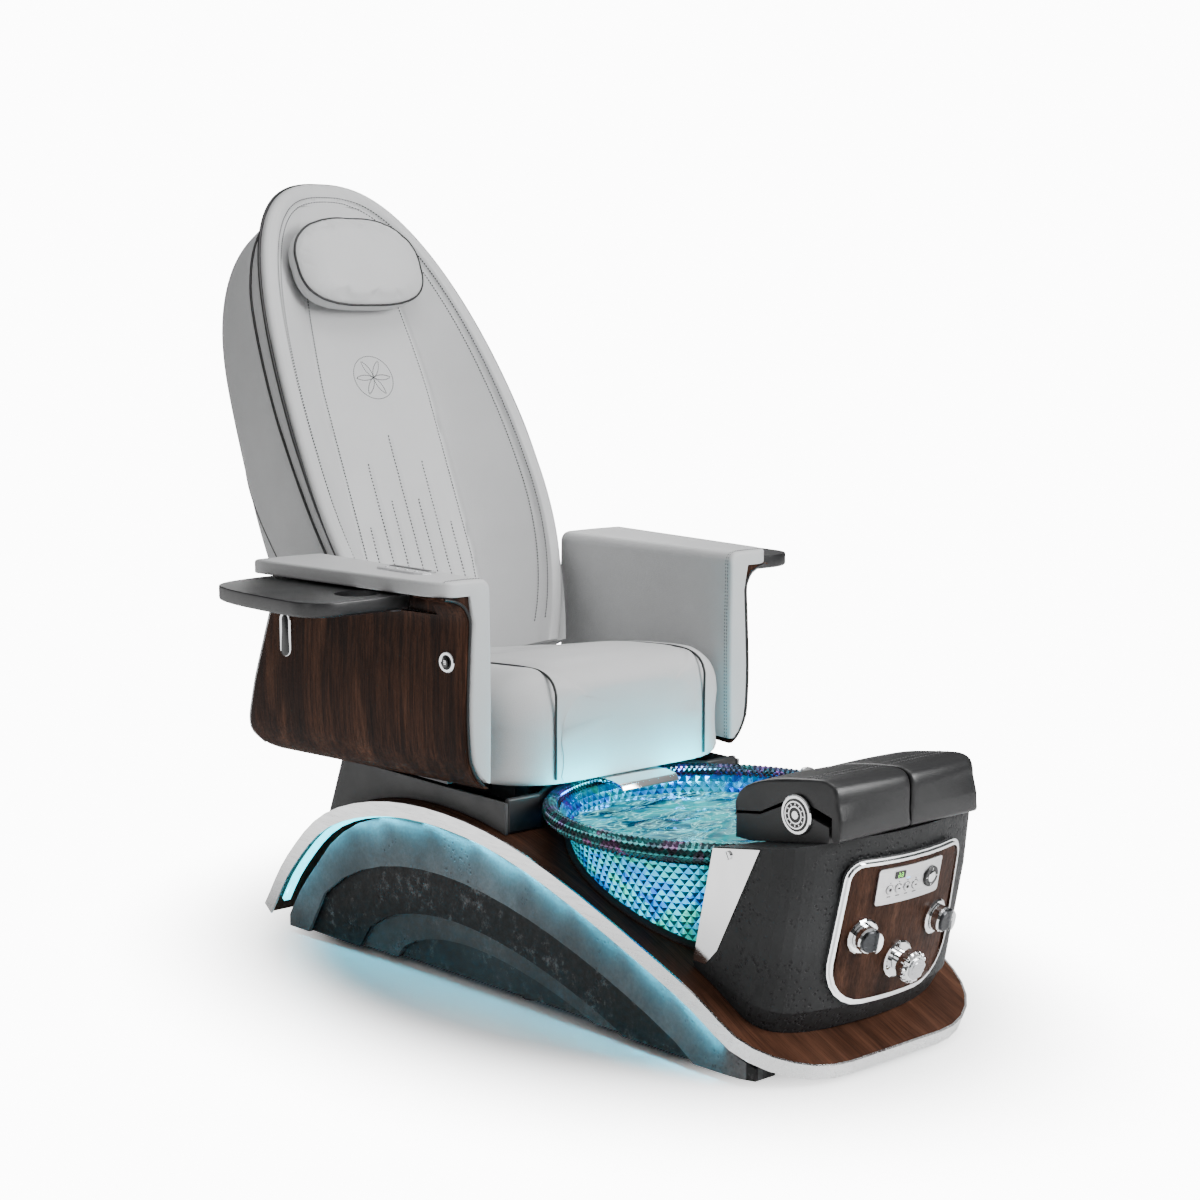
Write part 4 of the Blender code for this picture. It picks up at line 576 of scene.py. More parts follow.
water_points, water_faces = [], []
ripple_turns = np.arange(RIPPLE_TURNS) * math.tau / RIPPLE_TURNS
for k in range(RIPPLE_ROWS):
    calm = min(1.0, 6 * (1 - (k + 1) / RIPPLE_ROWS) + 0.15)
    for turn in ripple_turns:
        x, y, _ = on_bowl(WATER_REACH * (k + 1) / RIPPLE_ROWS, 0, turn)
        water_points.append((x, y, WATER_Z + calm * ripple(x, y)))
water_points += [on_bowl(WATER_REACH * WATER_DRAW, WATER_Z - WATER_DEEP, turn) for turn in ripple_turns]
water_points.append((0, BOWL_Y, WATER_Z + ripple(0, BOWL_Y)))
for i in range(RIPPLE_TURNS):
    j = (i + 1) % RIPPLE_TURNS
    water_faces.append((len(water_points) - 1, i, j))
    for a in range(0, RIPPLE_ROWS * RIPPLE_TURNS, RIPPLE_TURNS):
        b = a + RIPPLE_TURNS
        water_faces.append((a + i, b + i, b + j, a + j))
water_faces.append(tuple(RIPPLE_ROWS * RIPPLE_TURNS + i for i in reversed(range(RIPPLE_TURNS))))
lit_water, tree, shader = skin("lit_water", 0.04)
bands = noise(tree, place_on(tree, (7, 20, 1), (0, 0, 0.5)), 1.0, 3.0, 0.5)
body = ramp(tree, bands, (0.34, (0.0, 0.020, 0.050)), (0.48, (0.0, 0.11, 0.17)), (0.62, (0.0, 0.34, 0.36)))
folds = noise(tree, place_on(tree, (13, 30, 1), (0, 0, 0.45)), 1.0, 2.0, 0.5, 1.6)
# Painted light: bright caustic streaks mixed into the water's colour, which also glows as a painted glow.
painted_caustics = ramp(tree, folds, (0.40, 0.0), (0.485, 0.25), (0.505, 1.0), (0.525, 0.25), (0.60, 0.0))
water_tint_and_painted_caustics = between(tree, painted_caustics, body, (0.30, 0.92, 0.90))
fill(tree, shader, Base_Color=water_tint_and_painted_caustics, Emission_Color=water_tint_and_painted_caustics, Emission_Strength=0.24)
fill(tree, shader, Specular_IOR_Level=0.12)
build("foot_bath", (water_points, water_faces), lit_water, "base", 60)
soft_box("bath_glow", (0, -0.445, 0.375), (0, -0.385, 0.43), 0.40, 0.02, 1.3, (0.02, 0.80, 1.0))


# Console and controls: a dark cast housing with clusters of pits on a darker skirt, with a walnut board
# let into its front. Keypad and touch control are brushed silver, and the smaller fittings black plastic.
dress(cast_stone("console_stone", 0.9, 0.38), "console_body")
dress(cast_stone("skirt_stone", 1.0, 0.35), "console_skirt")
dress(walnut("board_walnut", "Z", 0.95, 0.6), "control_board")
dress(
    brushed("panel_silver", (0.74, 0.74, 0.75), "X", 0.34), "keypad_panel", "keypad_button_1",
    "keypad_button_2", "keypad_button_3", "keypad_button_4", "arm_control",
)
dress(black_plastic, "jet_ring", "footrest_bracket", "arm_button")


# Seat: one foam cushion in light grey leather, a crowned panel between two black pipings with the
# side bolsters sewn to it, and sewn channels at its rear.
SEAT_WIDE, SEAT_LOW, SEAT_TOP, SEAT_EDGE, SEAT_CORNER = 0.285, 0.387, 0.600, 0.185, 0.115
NOSE_Y, NOSE_DEEP, NOSE_HIGH, NOSE_POWER = -0.31, 0.088, 0.065, 2.7
CORNER_Y = -0.28
SEAT_SECTION = (
    (0.0, 0.0), (0.30, -0.0005), (0.50, -0.002), (0.60, -0.0055), (0.649, -0.010), (0.70, -0.0075),
    (0.78, -0.012), (0.86, -0.024), (0.94, -0.043), (0.985, -0.066), (0.997, -0.090),
)
SEAT_CHANNELS = (-0.110, -0.070, -0.030, 0.010, 0.050)
WELT_LOW = 0.0088
BACK_TILT, BACK_Y, BACK_Z = math.radians(24), 0.181, 0.537


def leather(name, colour, roughness=0.50, grain=1.0):
    """Upholstery leather: fine pebbled grain, soft clouding and an uneven sheen."""
    material, tree, shader = skin(name, roughness)
    spot = place_on(tree)
    pebble = add(tree, "ShaderNodeTexVoronoi", Vector=spot, Scale=620.0).outputs["Distance"]
    pores = noise(tree, spot, 1500.0, 2.0)
    cloud = noise(tree, spot, 5.0, 4.0, 0.6)
    tint = ramp(tree, cloud, (0.3, toned(colour, 0.95)), (0.7, toned(colour, 1.03)))
    # The grain's pebble tops are a little lighter and its creases darker.
    pebble_toned = between(tree, 0.22, tint, ramp(tree, pebble, (0.1, 1.08), (0.75, 0.78)), "MULTIPLY")
    sheen = ramp(tree, cloud, (0.3, roughness + 0.06), (0.7, roughness - 0.05))
    fill(tree, shader, Base_Color=pebble_toned, Roughness=sheen, Specular_IOR_Level=0.42)
    low = raise_by(tree, shader, ramp(tree, pebble, (0.0, 1), (0.8, 0)), 0.00022 * grain, 0.55)
    raise_by(tree, shader, pores, 0.00010 * grain, 0.5, low)
    return material


def joined(rings, flat_ends=False, closed=False):
    """Points and faces of rings joined one after another, with closed ends or back to the first."""
    count = len(rings[0])
    points = [point for ring in rings for point in ring]
    faces = []
    for k in range(len(rings) if closed else len(rings) - 1):
        a, b = k * count, (k + 1) % len(rings) * count
        for i in range(count):
            j = (i + 1) % count
            faces.append((a + i, a + j, b + j, b + i))
    if closed:
        return points, faces
    for start in (0, (len(rings) - 1) * count):
        ring = list(range(start, start + count))
        if flat_ends:
            faces.append(tuple(ring))
            continue
        points.append(tuple(np.mean([points[i] for i in ring], axis=0)))
        faces += [(ring[i], ring[(i + 1) % count], len(points) - 1) for i in range(count)]
    return points, faces


def merged(shapes):
    """Points and faces of several shapes as one."""
    points, faces = [], []
    for more, sides in shapes:
        faces += [tuple(i + len(points) for i in face) for face in sides]
        points += more
    return points, faces


def flipped(shape, sign):
    """A shape on the sitter's left, or its mirror image on the right."""
    points, faces = shape
    return [(sign * x, y, z) for x, y, z in points], faces


def cord_rings(path, radius, sides=8):
    """Rings of a round cord along a path."""
    rows = [Vector(map(float, point)) for point in path]
    turns = np.arange(sides) * math.tau / sides
    side = None
    rings = []
    for k, point in enumerate(rows):
        along = (rows[min(k + 1, len(rows) - 1)] - rows[max(k - 1, 0)]).normalized()
        if side is None:
            side = along.orthogonal().normalized()
        side = (side - along * side.dot(along)).normalized()
        other = along.cross(side)
        rings.append([tuple(point + radius * (math.cos(a) * side + math.sin(a) * other)) for a in turns])
    return rings


def piping(name, paths, radius, material, body):
    """Thin round welts along one or more paths, as one piece."""
    cords = [joined(cord_rings(curve_through(path, max(24, 3 * len(path))), radius)) for path in paths]
    return build(name, merged(cords), material, body, 60)


def sewing(name, lines, material, body, pitch=0.0068, long=0.0054, thick=0.0012):
    """Rows of stitches, each a small spindle, along lines of points and outward directions."""
    points, faces = [], []
    for path, outs in lines:
        path, outs = np.array(path, float), np.array(outs, float)
        run = np.concatenate([[0], np.cumsum(np.linalg.norm(np.diff(path, axis=0), axis=1))])

        def at(rows, place):
            return Vector([np.interp(place, run, rows[:, axis]) for axis in range(3)])

        for mid in np.arange(pitch / 2, run[-1], pitch):
            first, second = at(path, mid - long / 2), at(path, mid + long / 2)
            out = at(outs, mid).normalized()
            across = (second - first).normalized().cross(out).normalized() * thick
            centre, lift = (first + second) / 2, out * thick
            k = len(points)
            spindle = (first, second, centre + across, centre - across, centre + lift, centre - lift)
            points += [tuple(point) for point in spindle]
            for a, b in ((2, 4), (4, 3), (3, 5), (5, 2)):
                faces += [(k, k + a, k + b), (k + 1, k + b, k + a)]
    return build(name, (points, faces), material, body, 30)


def seat_half(y):
    if y < CORNER_Y:
        return SEAT_WIDE - SEAT_CORNER + math.sqrt(max(0, SEAT_CORNER**2 - (y - CORNER_Y) ** 2))
    return float(np.interp(y, (0.05, 0.075, 0.10, 0.13, 0.16), (SEAT_WIDE, 0.238, 0.180, 0.132, 0.104)))


def seat_top(y):
    if y < NOSE_Y:
        fall = max(0, 1 - ((NOSE_Y - y) / NOSE_DEEP) ** NOSE_POWER) ** (1 / NOSE_POWER)
        return SEAT_TOP - NOSE_HIGH + NOSE_HIGH * fall
    heights = (SEAT_TOP, 0.592, 0.558, 0.545)
    near = [np.interp(y + d, (NOSE_Y, -0.18, 0.02, 0.16), heights) for d in (-0.03, 0, 0.03)]
    return float(min(SEAT_TOP, np.mean(near)))


section_fine = curve_through(SEAT_SECTION, 40)
seat_rows = [*(-0.3975 + 0.0875 * (1 - np.cos(np.linspace(0.06, 1.45, 22)))), *np.linspace(-0.30, 0.156, 40)]
seat_rings = []
for y in seat_rows:
    half, top = seat_half(y), seat_top(y)
    low = max(SEAT_LOW, BACK_Z + (y + 0.015 - BACK_Y) / math.tan(BACK_TILT))
    room = min(1.0, (top - low) / 0.150)
    side = [(share * half, top + drop * room) for share, drop in section_fine]
    foot, waist = low + 0.012 * room, side[-1][1]
    for t in np.linspace(0.15, 1, 9):
        side.append((half * 0.997 - 0.005 * math.sin(math.pi * t), waist + (foot - waist) * t))
    side += [(half - 0.005, low + 0.004 * room), (half - 0.012, low), (half * 0.5, low), (0, low)]
    seat_rings.append([(x, y, z) for x, z in side] + [(-x, y, z) for x, z in reversed(side[1:-1])])
grey_leather = leather("grey_leather", (0.50, 0.505, 0.51))
seat = build("seat", joined(seat_rings), grey_leather, "carriage", 50)
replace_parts(seat, "seat_cushion")
black_welt = leather("black_welt", (0.012, 0.012, 0.013), 0.42, 0.5)
thread = moulded("grey_thread", (0.022, 0.022, 0.024), 0.7, 0.0002, 2500.0)
welts = []
for sign in (-1, 1):
    front_x = sign * (SEAT_EDGE - 0.002)
    over = [(sign * SEAT_EDGE, y, seat_top(y) - WELT_LOW) for y in np.linspace(0.02, NOSE_Y, 12)]
    for turn in np.linspace(0.25, 1.47, 10):
        y = NOSE_Y - NOSE_DEEP * math.sin(turn) ** (2 / NOSE_POWER)
        over.append((front_x, y - 0.0003, seat_top(y) - WELT_LOW * math.cos(turn)))
    welts.append(over + [(front_x, -0.3968, z) for z in (0.50, 0.46, 0.42, 0.396)])
piping("seat_piping", welts, 0.0024, black_welt, "carriage")
seat_lines = []
for k, x in enumerate(SEAT_CHANNELS):
    ys = np.linspace(0.02, -0.09 - 0.022 * k, 30)
    seat_lines.append(([(x, y, seat_top(y) - 0.0008) for y in ys], [(0, 0, 1)] * len(ys)))
sewing("seat_stitching", seat_lines, thread, "carriage")


# Arms: foam slabs on upholstered legs in the same leather, sewn round the front face. A walnut panel
# with the grain upright closes each one outside.
ARM_IN, ARM_FRONT, ARM_REAR, ARM_TOP, ARM_SLAB = 0.295, -0.354, 0.169, 0.767, 0.028
ARM_SPLAY, ARM_ROUND, SLAB_ROUND, SLAB_UNDER, FRONT_ROUND = 0.154, 0.020, 0.0055, 0.0045, 0.007
WOOD_OUT = (
    (0.397, 0.024), (0.410, 0.036), (0.430, 0.047), (0.455, 0.0535),
    (0.530, 0.057), (0.630, 0.053), (0.690, 0.050),
)
PANEL_THICK = 0.010
NOTCH_IN, NOTCH_FRONT, NO_NOTCH = ARM_IN + 0.0562, -0.287, 9
SEAM_POINTS = 27


def arm_splay(y):
    return ARM_SPLAY * (y - ARM_FRONT)


def arm_edge(y):
    edge = ARM_IN + 0.110 + 0.054 * (y - ARM_FRONT) / (ARM_REAR - ARM_FRONT)
    share = min(1, max(0, y - ARM_FRONT) / 0.060)
    return edge - 0.030 * (1 - math.sqrt(max(0, 1 - (1 - share) ** 2)))


def wood_rear(z):
    return float(np.interp(z, (0.389, 0.400, 0.440, 0.700, 0.739), (0.196, 0.219, 0.230, 0.152, 0.138)))


def corner(x, z, y, radius, first, last, count):
    """A rounded corner of a section, between two angles in degrees."""
    turns = np.radians(np.linspace(first, last, count))
    return [(x + radius * math.cos(turn), y, z + radius * math.sin(turn)) for turn in turns]


def arm_ring(share, tuck):
    """One section of the arm: inner face, rounded top, slab edge and the leg inside the wood."""
    y = ARM_FRONT + share * (ARM_REAR - ARM_FRONT)
    edge, top, inner, low = arm_edge(y) - tuck, ARM_TOP - tuck, ARM_IN + tuck, ARM_TOP - ARM_SLAB
    ring = []
    for t in np.linspace(0, 1, 8):
        ring.append((inner - 0.002 * math.sin(math.pi * t), y, 0.400 + t * (top - 0.422)))
    ring += corner(inner + ARM_ROUND, top - ARM_ROUND, y, ARM_ROUND, 172, 90, 9)
    for t in np.linspace(0.2, 1, 5):
        wide = edge - inner - ARM_ROUND - SLAB_ROUND
        ring.append((inner + ARM_ROUND + t * wide, y, top + 0.0006 * math.sin(math.pi * t)))
    ring += corner(edge - SLAB_ROUND, top - SLAB_ROUND, y, SLAB_ROUND, 78, 0, 6)
    ring += corner(edge - SLAB_UNDER, low + 0.005, y, SLAB_UNDER, 0, -90, 5)
    notch = NOTCH_IN if y > NOTCH_FRONT else NO_NOTCH
    ring.append((min(ARM_IN + 0.045 + arm_splay(y), edge - 0.012, notch), y, low + 0.0005))
    for z, out in curve_through(WOOD_OUT[::-1], 18):
        back = ARM_FRONT + share * (min(ARM_REAR, wood_rear(z) - 0.004) - ARM_FRONT)
        notch = NOTCH_IN if z > 0.66 and back > NOTCH_FRONT else NO_NOTCH
        x = ARM_IN + out - PANEL_THICK - 0.0012 + arm_splay(back) - tuck
        ring.append((max(min(x, notch), inner + 0.004), back, max(z, 0.4015)))
    return ring


def seam_out(point):
    """The outward direction of the arm's front seam."""
    if point.z > ARM_TOP - 0.004:
        return Vector((0, 0, 1))
    if point.x < ARM_IN + 0.003:
        return Vector((-1, 0, 0))
    return (point - Vector((0.35, point.y, 0.70))).normalized()


arm_shares = []
for turn in np.radians((0, 18, 38, 62, 90)):
    ease = FRONT_ROUND * (1 - math.cos(turn)) / (ARM_REAR - ARM_FRONT)
    arm_shares.append((ease, FRONT_ROUND * (1 - math.sin(turn))))
arm_shares += [(share, 0.0) for share in (*np.linspace(0.03, 0.12, 10), *np.linspace(0.16, 0.98, 22))]
arm_shares += [(0.992, 0.0015), (1.0, 0.005)]
arm_shape = joined([arm_ring(share, tuck) for share, tuck in arm_shares], flat_ends=True)
seam_ring = [Vector(point) for point in arm_ring(0.0105 / (ARM_REAR - ARM_FRONT), 0.0)[:SEAM_POINTS]]
for side, sign in SIDES:
    pad = build(f"arm_{side}", flipped(arm_shape, sign), grey_leather, "carriage", 42)
    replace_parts(pad, f"arm_pad_{side}")
    outs = [(sign * out.x, out.y, out.z) for out in map(seam_out, seam_ring)]
    lines = [([(sign * p.x, p.y + shift, p.z) for p in seam_ring], outs) for shift in (0.0, 0.0055)]
    sewing(f"arm_stitching_{side}", lines, thread, "carriage")


# Walnut panels: bent plywood with a dark veneer, grain upright, that curls in under the arm and flares
# out under its slab. A notch takes the tray and is lined with the same veneer. The right one is bored
# for the button.
WOOD_LINE = ((0.389, 0.011), *WOOD_OUT, (0.708, 0.055), (0.722, 0.065), (0.7315, 0.083), (0.7365, 0.105))
WOOD_REAR = (
    (0.389, 0.196), (0.394, 0.209), (0.402, 0.219), (0.418, 0.227),
    (0.440, 0.2295), (0.55, 0.197), (0.700, 0.152), (0.739, 0.138),
)
WOOD_TOP, WOOD_INNER_TOP, WOOD_CREASE = 0.7385, 0.69, 35
NOTCH = ((ARM_IN + 0.057, -0.280, 0.700), (ARM_IN + 0.405, 0.300, 0.7405))
LINING = ((ARM_IN + 0.0571, -0.2795, 0.7004), (ARM_IN + 0.0583, 0.139, WOOD_TOP))
BUTTON_BORE, BORE_ENDS = 0.0124, (-0.42, -0.30)
panel_front = ARM_FRONT + 0.006
panel_fine = curve_through(WOOD_LINE, 56)
rear_fine = curve_through(WOOD_REAR, 60)


def box_shape(low, high):
    corners = ((low[0], low[1]), (high[0], low[1]), (high[0], high[1]), (low[0], high[1]))
    return joined([[(x, y, z) for x, y in corners] for z in (low[2], high[2])], flat_ends=True)


def carved(thing, *shapes):
    """Cut closed shapes out of a piece."""
    for shape in shapes:
        cutter = bpy.data.objects.new("cutter", closed_mesh("cutter", *shape))
        bpy.context.collection.objects.link(cutter)
        cut = thing.modifiers.new("cut", "BOOLEAN")
        cut.solver, cut.object = "EXACT", cutter
        view = bpy.context.evaluated_depsgraph_get()
        result = bpy.data.meshes.new_from_object(thing.evaluated_get(view))
        thing.modifiers.clear()
        thing.data = result
        bpy.data.objects.remove(cutter)
    thing.data.set_sharp_from_angle(angle=math.radians(WOOD_CREASE))


def rear_of(z):
    return float(np.interp(z, rear_fine[:, 0], rear_fine[:, 1]))


def middle_of(name):
    low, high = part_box(name)
    return [(a + b) / 2 for a, b in zip(low, high)]


panel_rings = []
for share in (0, 0.003, *np.linspace(0.008, 0.992, 30), 0.997, 1):
    tuck = 0.0018 if share in (0, 1) else 0.0005 if share in (0.003, 0.997) else 0.0
    outer, inner = [], []
    for z, out in panel_fine:
        y = panel_front + share * (rear_of(z) - panel_front)
        outer.append((ARM_IN + out + arm_splay(y) - tuck, y, z))
        if z < WOOD_INNER_TOP:
            inner.append((ARM_IN + out - PANEL_THICK + arm_splay(y) + 0.5 * tuck, y, z + 0.0004))
    y = panel_front + share * (rear_of(WOOD_TOP) - panel_front)
    splay = arm_splay(y)
    head = [(ARM_IN + 0.105 + 0.8 * splay - tuck, y, WOOD_TOP), (ARM_IN + 0.042 + splay, y, WOOD_TOP)]
    panel_rings.append(outer + head + inner[::-1])
panel_shape = joined(panel_rings, flat_ends=True)
front_splay = arm_splay(panel_front)
# Painted shadow: a black welt along each panel's front edge stands for the shadow in the gap between wood
# and leather.
gap_shadow_line = [(ARM_IN + out + front_splay - 0.0085, panel_front - 0.0012, z) for z, out in panel_fine[2:]]
arm_walnut = walnut("arm_walnut", "Z", 1.05)
_, press_y, press_z = middle_of("arm_button")
for side, sign in SIDES:
    shape = flipped(panel_shape, sign)
    panel = build(f"arm_walnut_{side}", shape, arm_walnut, "carriage", WOOD_CREASE)
    carved(panel, flipped(box_shape(*NOTCH), sign))
    if side == "right":
        turns = np.arange(32) * math.tau / 32
        circle = [(BUTTON_BORE * math.cos(a), BUTTON_BORE * math.sin(a)) for a in turns]
        bore = [[(x, press_y + u, press_z + v) for u, v in circle] for x in BORE_ENDS]
        carved(panel, joined(bore, flat_ends=True))
    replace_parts(panel, f"arm_panel_{side}")
    lining = flipped(box_shape(*LINING), sign)
    build(f"notch_lining_{side}", lining, arm_walnut, "carriage", WOOD_CREASE)
    gap_shadow_path = [(sign * x, y, z) for x, y, z in gap_shadow_line]
    piping(f"panel_gap_shadow_{side}", [gap_shadow_path], 0.0027, black_welt, "carriage")


# Trays: black moulded leaves with a soft edge and a cup hole, each turning on a pin in its arm.
# The smaller hole takes the pin.
TRAY_OUT = (
    (0.073, -0.150), (0.073, -0.236), (0.155, -0.240), (0.297, -0.243), (0.305, -0.110),
    (0.302, 0.040), (0.277, 0.118), (0.155, 0.150), (0.073, 0.140), (0.073, 0.000),
)
TRAY_LOW, TRAY_TOP, TRAY_MIDDLE = 0.708, 0.735, np.array((ARM_IN + 0.190, -0.03))
TRAY_EDGE = (
    (0.0, 0.034), (0.0015, 0.014), (0.0035, 0.004), (0.006, 0.0),
    (0.0245, 0.0), (0.0262, 0.0025), (0.027, 0.007),
)
CUP_HOLE, PIN_HOLE = (ARM_IN + 0.157, -0.168, 0.040, 56), (ARM_IN + 0.100, -0.205, 0.0068, 24)
tray_line = np.array([(ARM_IN + out, y) for out, y in TRAY_OUT])
for _ in range(4):
    ahead = np.roll(tray_line, -1, axis=0)
    quarters = [0.75 * tray_line + 0.25 * ahead, 0.25 * tray_line + 0.75 * ahead]
    tray_line = np.stack(quarters, axis=1).reshape(-1, 2)
tray_rings = []
for rise, draw in TRAY_EDGE:
    drawn = TRAY_MIDDLE + (tray_line - TRAY_MIDDLE) * (1 - draw)
    tray_rings.append([(x, y, TRAY_LOW + rise) for x, y in drawn])
tray_shape = joined(tray_rings, flat_ends=True)
tray_black = moulded("tray_black", (0.012, 0.0122, 0.013), 0.36, 0.0002)


def drill(x, y, reach, steps):
    turns = np.arange(steps) * math.tau / steps
    ends = (TRAY_LOW - 0.02, TRAY_TOP + 0.02)
    circle = [(x + reach * math.cos(a), y + reach * math.sin(a)) for a in turns]
    return joined([[(u, v, z) for u, v in circle] for z in ends], flat_ends=True)


for side, sign in SIDES:
    shape = flipped(tray_shape, sign)
    tray = build(f"tray_leaf_{side}", shape, tray_black, f"tray_arm_{side}", 35)
    carved(tray, *[drill(sign * x, y, reach, steps) for x, y, reach, steps in (CUP_HOLE, PIN_HOLE)])
    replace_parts(tray, f"tray_{side}")


# Pedestal cover and spout: a black moulding behind the bowl and a bent chrome plate over its rear edge,
# both with their edges rounded over.
def eased(name, width, material):
    """A solid of the base with its sharp edges rounded over."""
    work = bmesh.new()
    work.from_mesh(nodes[name].data)
    bmesh.ops.remove_doubles(work, verts=work.verts, dist=1e-5)
    bmesh.ops.dissolve_limit(work, angle_limit=math.radians(2), verts=work.verts, edges=work.edges)
    sharp = [edge for edge in work.edges if edge.is_manifold and edge.calc_face_angle(0) > math.radians(30)]
    bmesh.ops.bevel(
        work, geom=sharp, offset=width, segments=4, profile=0.5, affect="EDGES", clamp_overlap=True
    )
    mesh = bpy.data.meshes.new(f"{name}_eased")
    work.to_mesh(mesh)
    work.free()
    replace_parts(carried(f"{name}_eased", mesh, material, "base", 35), name)


eased("pedestal_front", 0.012, black_plastic)
eased("waterfall_spout", 0.002, bright_chrome)


# Back: a bucket-shaped cushion, its leather panel drawn into a rolled rim, with seams along both wings,
# seven sewn lines that rise from the seat and a stitched rosette. It lies on the carrier board.
BACK_HALF, BACK_TOP, BACK_FOOT, BACK_WAIST, WING_DEPTH = 0.291, 1.054, -0.030, 0.35, 0.120
CUSHION_THICK, EDGE_THICK, EDGE_IN = 0.045, 0.0145, 0.006
RIM_WIDE, WING_SEAM, SEAM_TOP, NEAR = 0.040, 0.137, 0.80, 0.002
RIM_ROLL = (
    (0, 0.0105), (0.03, 0.0045), (0.08, 0.0008), (0.16, -0.0018), (0.28, -0.0036), (0.50, -0.0044),
    (0.75, -0.0036), (0.90, -0.0020), (0.97, 0.0002), (1.0, 0.0018), (1.04, 0.0004), (1.2, 0.0),
)
SEWN_LINES = (
    (0.0, 0.478), (0.068, 0.416), (-0.068, 0.416), (0.034, 0.333),
    (-0.034, 0.333), (0.102, 0.279), (-0.102, 0.279),
)
ROSETTE_S, ROSETTE_REACH, ROSETTE_HOOP = 0.605, 0.043, 1.12


def on_back(x, s, n):
    """A place on the back: across it, up along it and behind its face."""
    y = BACK_Y + s * math.sin(BACK_TILT) + n * math.cos(BACK_TILT)
    return (x, y, BACK_Z + s * math.cos(BACK_TILT) - n * math.sin(BACK_TILT))


def rising(foot, top, below, above, last=math.pi / 2):
    """Heights from a foot to the waist in even steps, then closer and closer towards the top."""
    lower = np.linspace(foot, BACK_WAIST, below, endpoint=False)
    return np.concatenate([lower, BACK_WAIST + (top - BACK_WAIST) * np.sin(np.linspace(0, last, above))])


def back_half(s):
    if s > BACK_WAIST:
        return BACK_HALF * max(0, 1 - ((s - BACK_WAIST) / (BACK_TOP - BACK_WAIST)) ** 2) ** 0.38
    return BACK_HALF * math.sqrt(1 - ((BACK_WAIST - s) / 0.53) ** 2)


def wing(s):
    return WING_DEPTH * (1 - max(0, (s - 0.15) / 0.9) ** 1.6) if s < 1.05 else 0.0


def flat_half(s):
    seam = max(back_half(s) - 0.030, 0.35 * back_half(s))
    return min(WING_SEAM, 0.55 * seam), seam


def back_rear(x, s):
    flat, _ = flat_half(s)
    share = min(1, max(0, (abs(x) - flat) / max(1e-6, back_half(s) - EDGE_IN - flat)))
    thick = EDGE_THICK + (CUSHION_THICK - EDGE_THICK) * min(1, max(0, BACK_TOP - s) / 0.15) ** 0.5
    return -wing(s) * share**1.5 + thick - (thick - EDGE_THICK) * share**4


outline = np.array([(back_half(s), s) for s in rising(BACK_FOOT, BACK_TOP, 90, 200)])
outline_way = np.diff(outline, axis=0)
outline_run = (outline_way**2).sum(axis=1)


def edge_distance(x, s):
    gap = np.array((abs(x), s)) - outline[:-1]
    share = np.clip((gap * outline_way).sum(axis=1) / outline_run, 0, 1)
    return float(np.min(np.linalg.norm(gap - share[:, None] * outline_way, axis=1)))


def back_front(x, s):
    """How far the cushion's face lies behind the flat panel: wings, rolled rim, seams and sewn lines."""
    flat, seam = flat_half(s)
    share = min(1, max(0, (abs(x) - flat) / (seam - flat)))
    depth = -wing(s) * share**1.22
    t = edge_distance(x, s) / RIM_WIDE
    roll = np.interp(t, *zip(*RIM_ROLL))
    crown = 0.0035 * max(0, 1 - (x / flat) ** 2) if t > 1 else 0.0
    groove = 0.0026 * math.exp(-(((abs(x) - flat) / 0.0035) ** 2)) if t > 1 and s < SEAM_TOP else 0.0
    for line, top in SEWN_LINES:
        if s < top + 0.01:
            fade = min(1, (top + 0.01 - s) / 0.02)
            groove += 0.0034 * fade * math.exp(-(((x - line) / 0.0040) ** 2))
    return depth + roll - crown + groove


half_shares = np.concatenate([np.linspace(0, 0.86, 62), np.linspace(0.868, 1, 24)])
column_share = np.concatenate([-half_shares[:0:-1], half_shares])
cushion_rings = []
for s in rising(BACK_FOOT, BACK_TOP, 40, 84, 1.545):
    half = back_half(s)
    ring = [on_back(share * half, s, back_front(share * half, s)) for share in column_share]
    flat, _ = flat_half(s)
    rear = []
    for share in (0, 0.25, 0.5, 0.75, 0.9, 0.97):
        x = flat + (half - EDGE_IN - flat) * share
        rear.append((x, back_rear(x, s) - 0.0012))
    ring += [on_back(x, s, n) for x, n in reversed(rear)] + [on_back(-x, s, n) for x, n in rear]
    cushion_rings.append(ring)
cushion = build("back_pad", joined(cushion_rings), grey_leather, "back", 60)
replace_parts(cushion, "back_cushion")


def on_face(x, s):
    return Vector(on_back(x, s, back_front(x, s)))


def face_line(places, lift=0.0004):
    """Points and outward directions on the cushion's face."""
    points, outs = [], []
    for x, s in places:
        here = on_face(x, s)
        out = (on_face(x, s + NEAR) - here).cross(on_face(x + NEAR, s) - here).normalized()
        if out.y > 0:
            out = -out
        points.append(here + out * lift)
        outs.append(out)
    return points, outs


def rim_line(inset):
    """Places at one distance inside the outline, from the foot to the top."""
    places = []
    for s in rising(0.02, BACK_TOP - inset, 30, 90, 1.55):
        low, high = 0.0, back_half(s)
        for _ in range(18):
            middle = (low + high) / 2
            low, high = (middle, high) if edge_distance(middle, s) > inset else (low, middle)
        places.append((low, s))
    return places + [(0.0, BACK_TOP - inset)]


back_lines = [face_line([(x, s) for s in np.linspace(0.02, top, 60)]) for x, top in SEWN_LINES]
sewing("back_channels", back_lines, thread, "back", 0.0075, 0.0062, 0.0023)
back_lines = []
for sign in (-1, 1):
    seam = [(sign * (flat_half(s)[0] - 0.0062), s) for s in np.linspace(0.03, SEAM_TOP, 90)]
    back_lines.append(face_line(seam))
    for inset in (RIM_WIDE - 0.0055, RIM_WIDE + 0.0055):
        back_lines.append(face_line([(sign * x, s) for x, s in rim_line(inset)]))
sewing("back_stitching", back_lines, thread, "back", thick=0.0017)


def rosette_arc(x, s, reach, turns):
    return face_line([(x + reach * math.cos(a), s + reach * math.sin(a)) for a in turns])


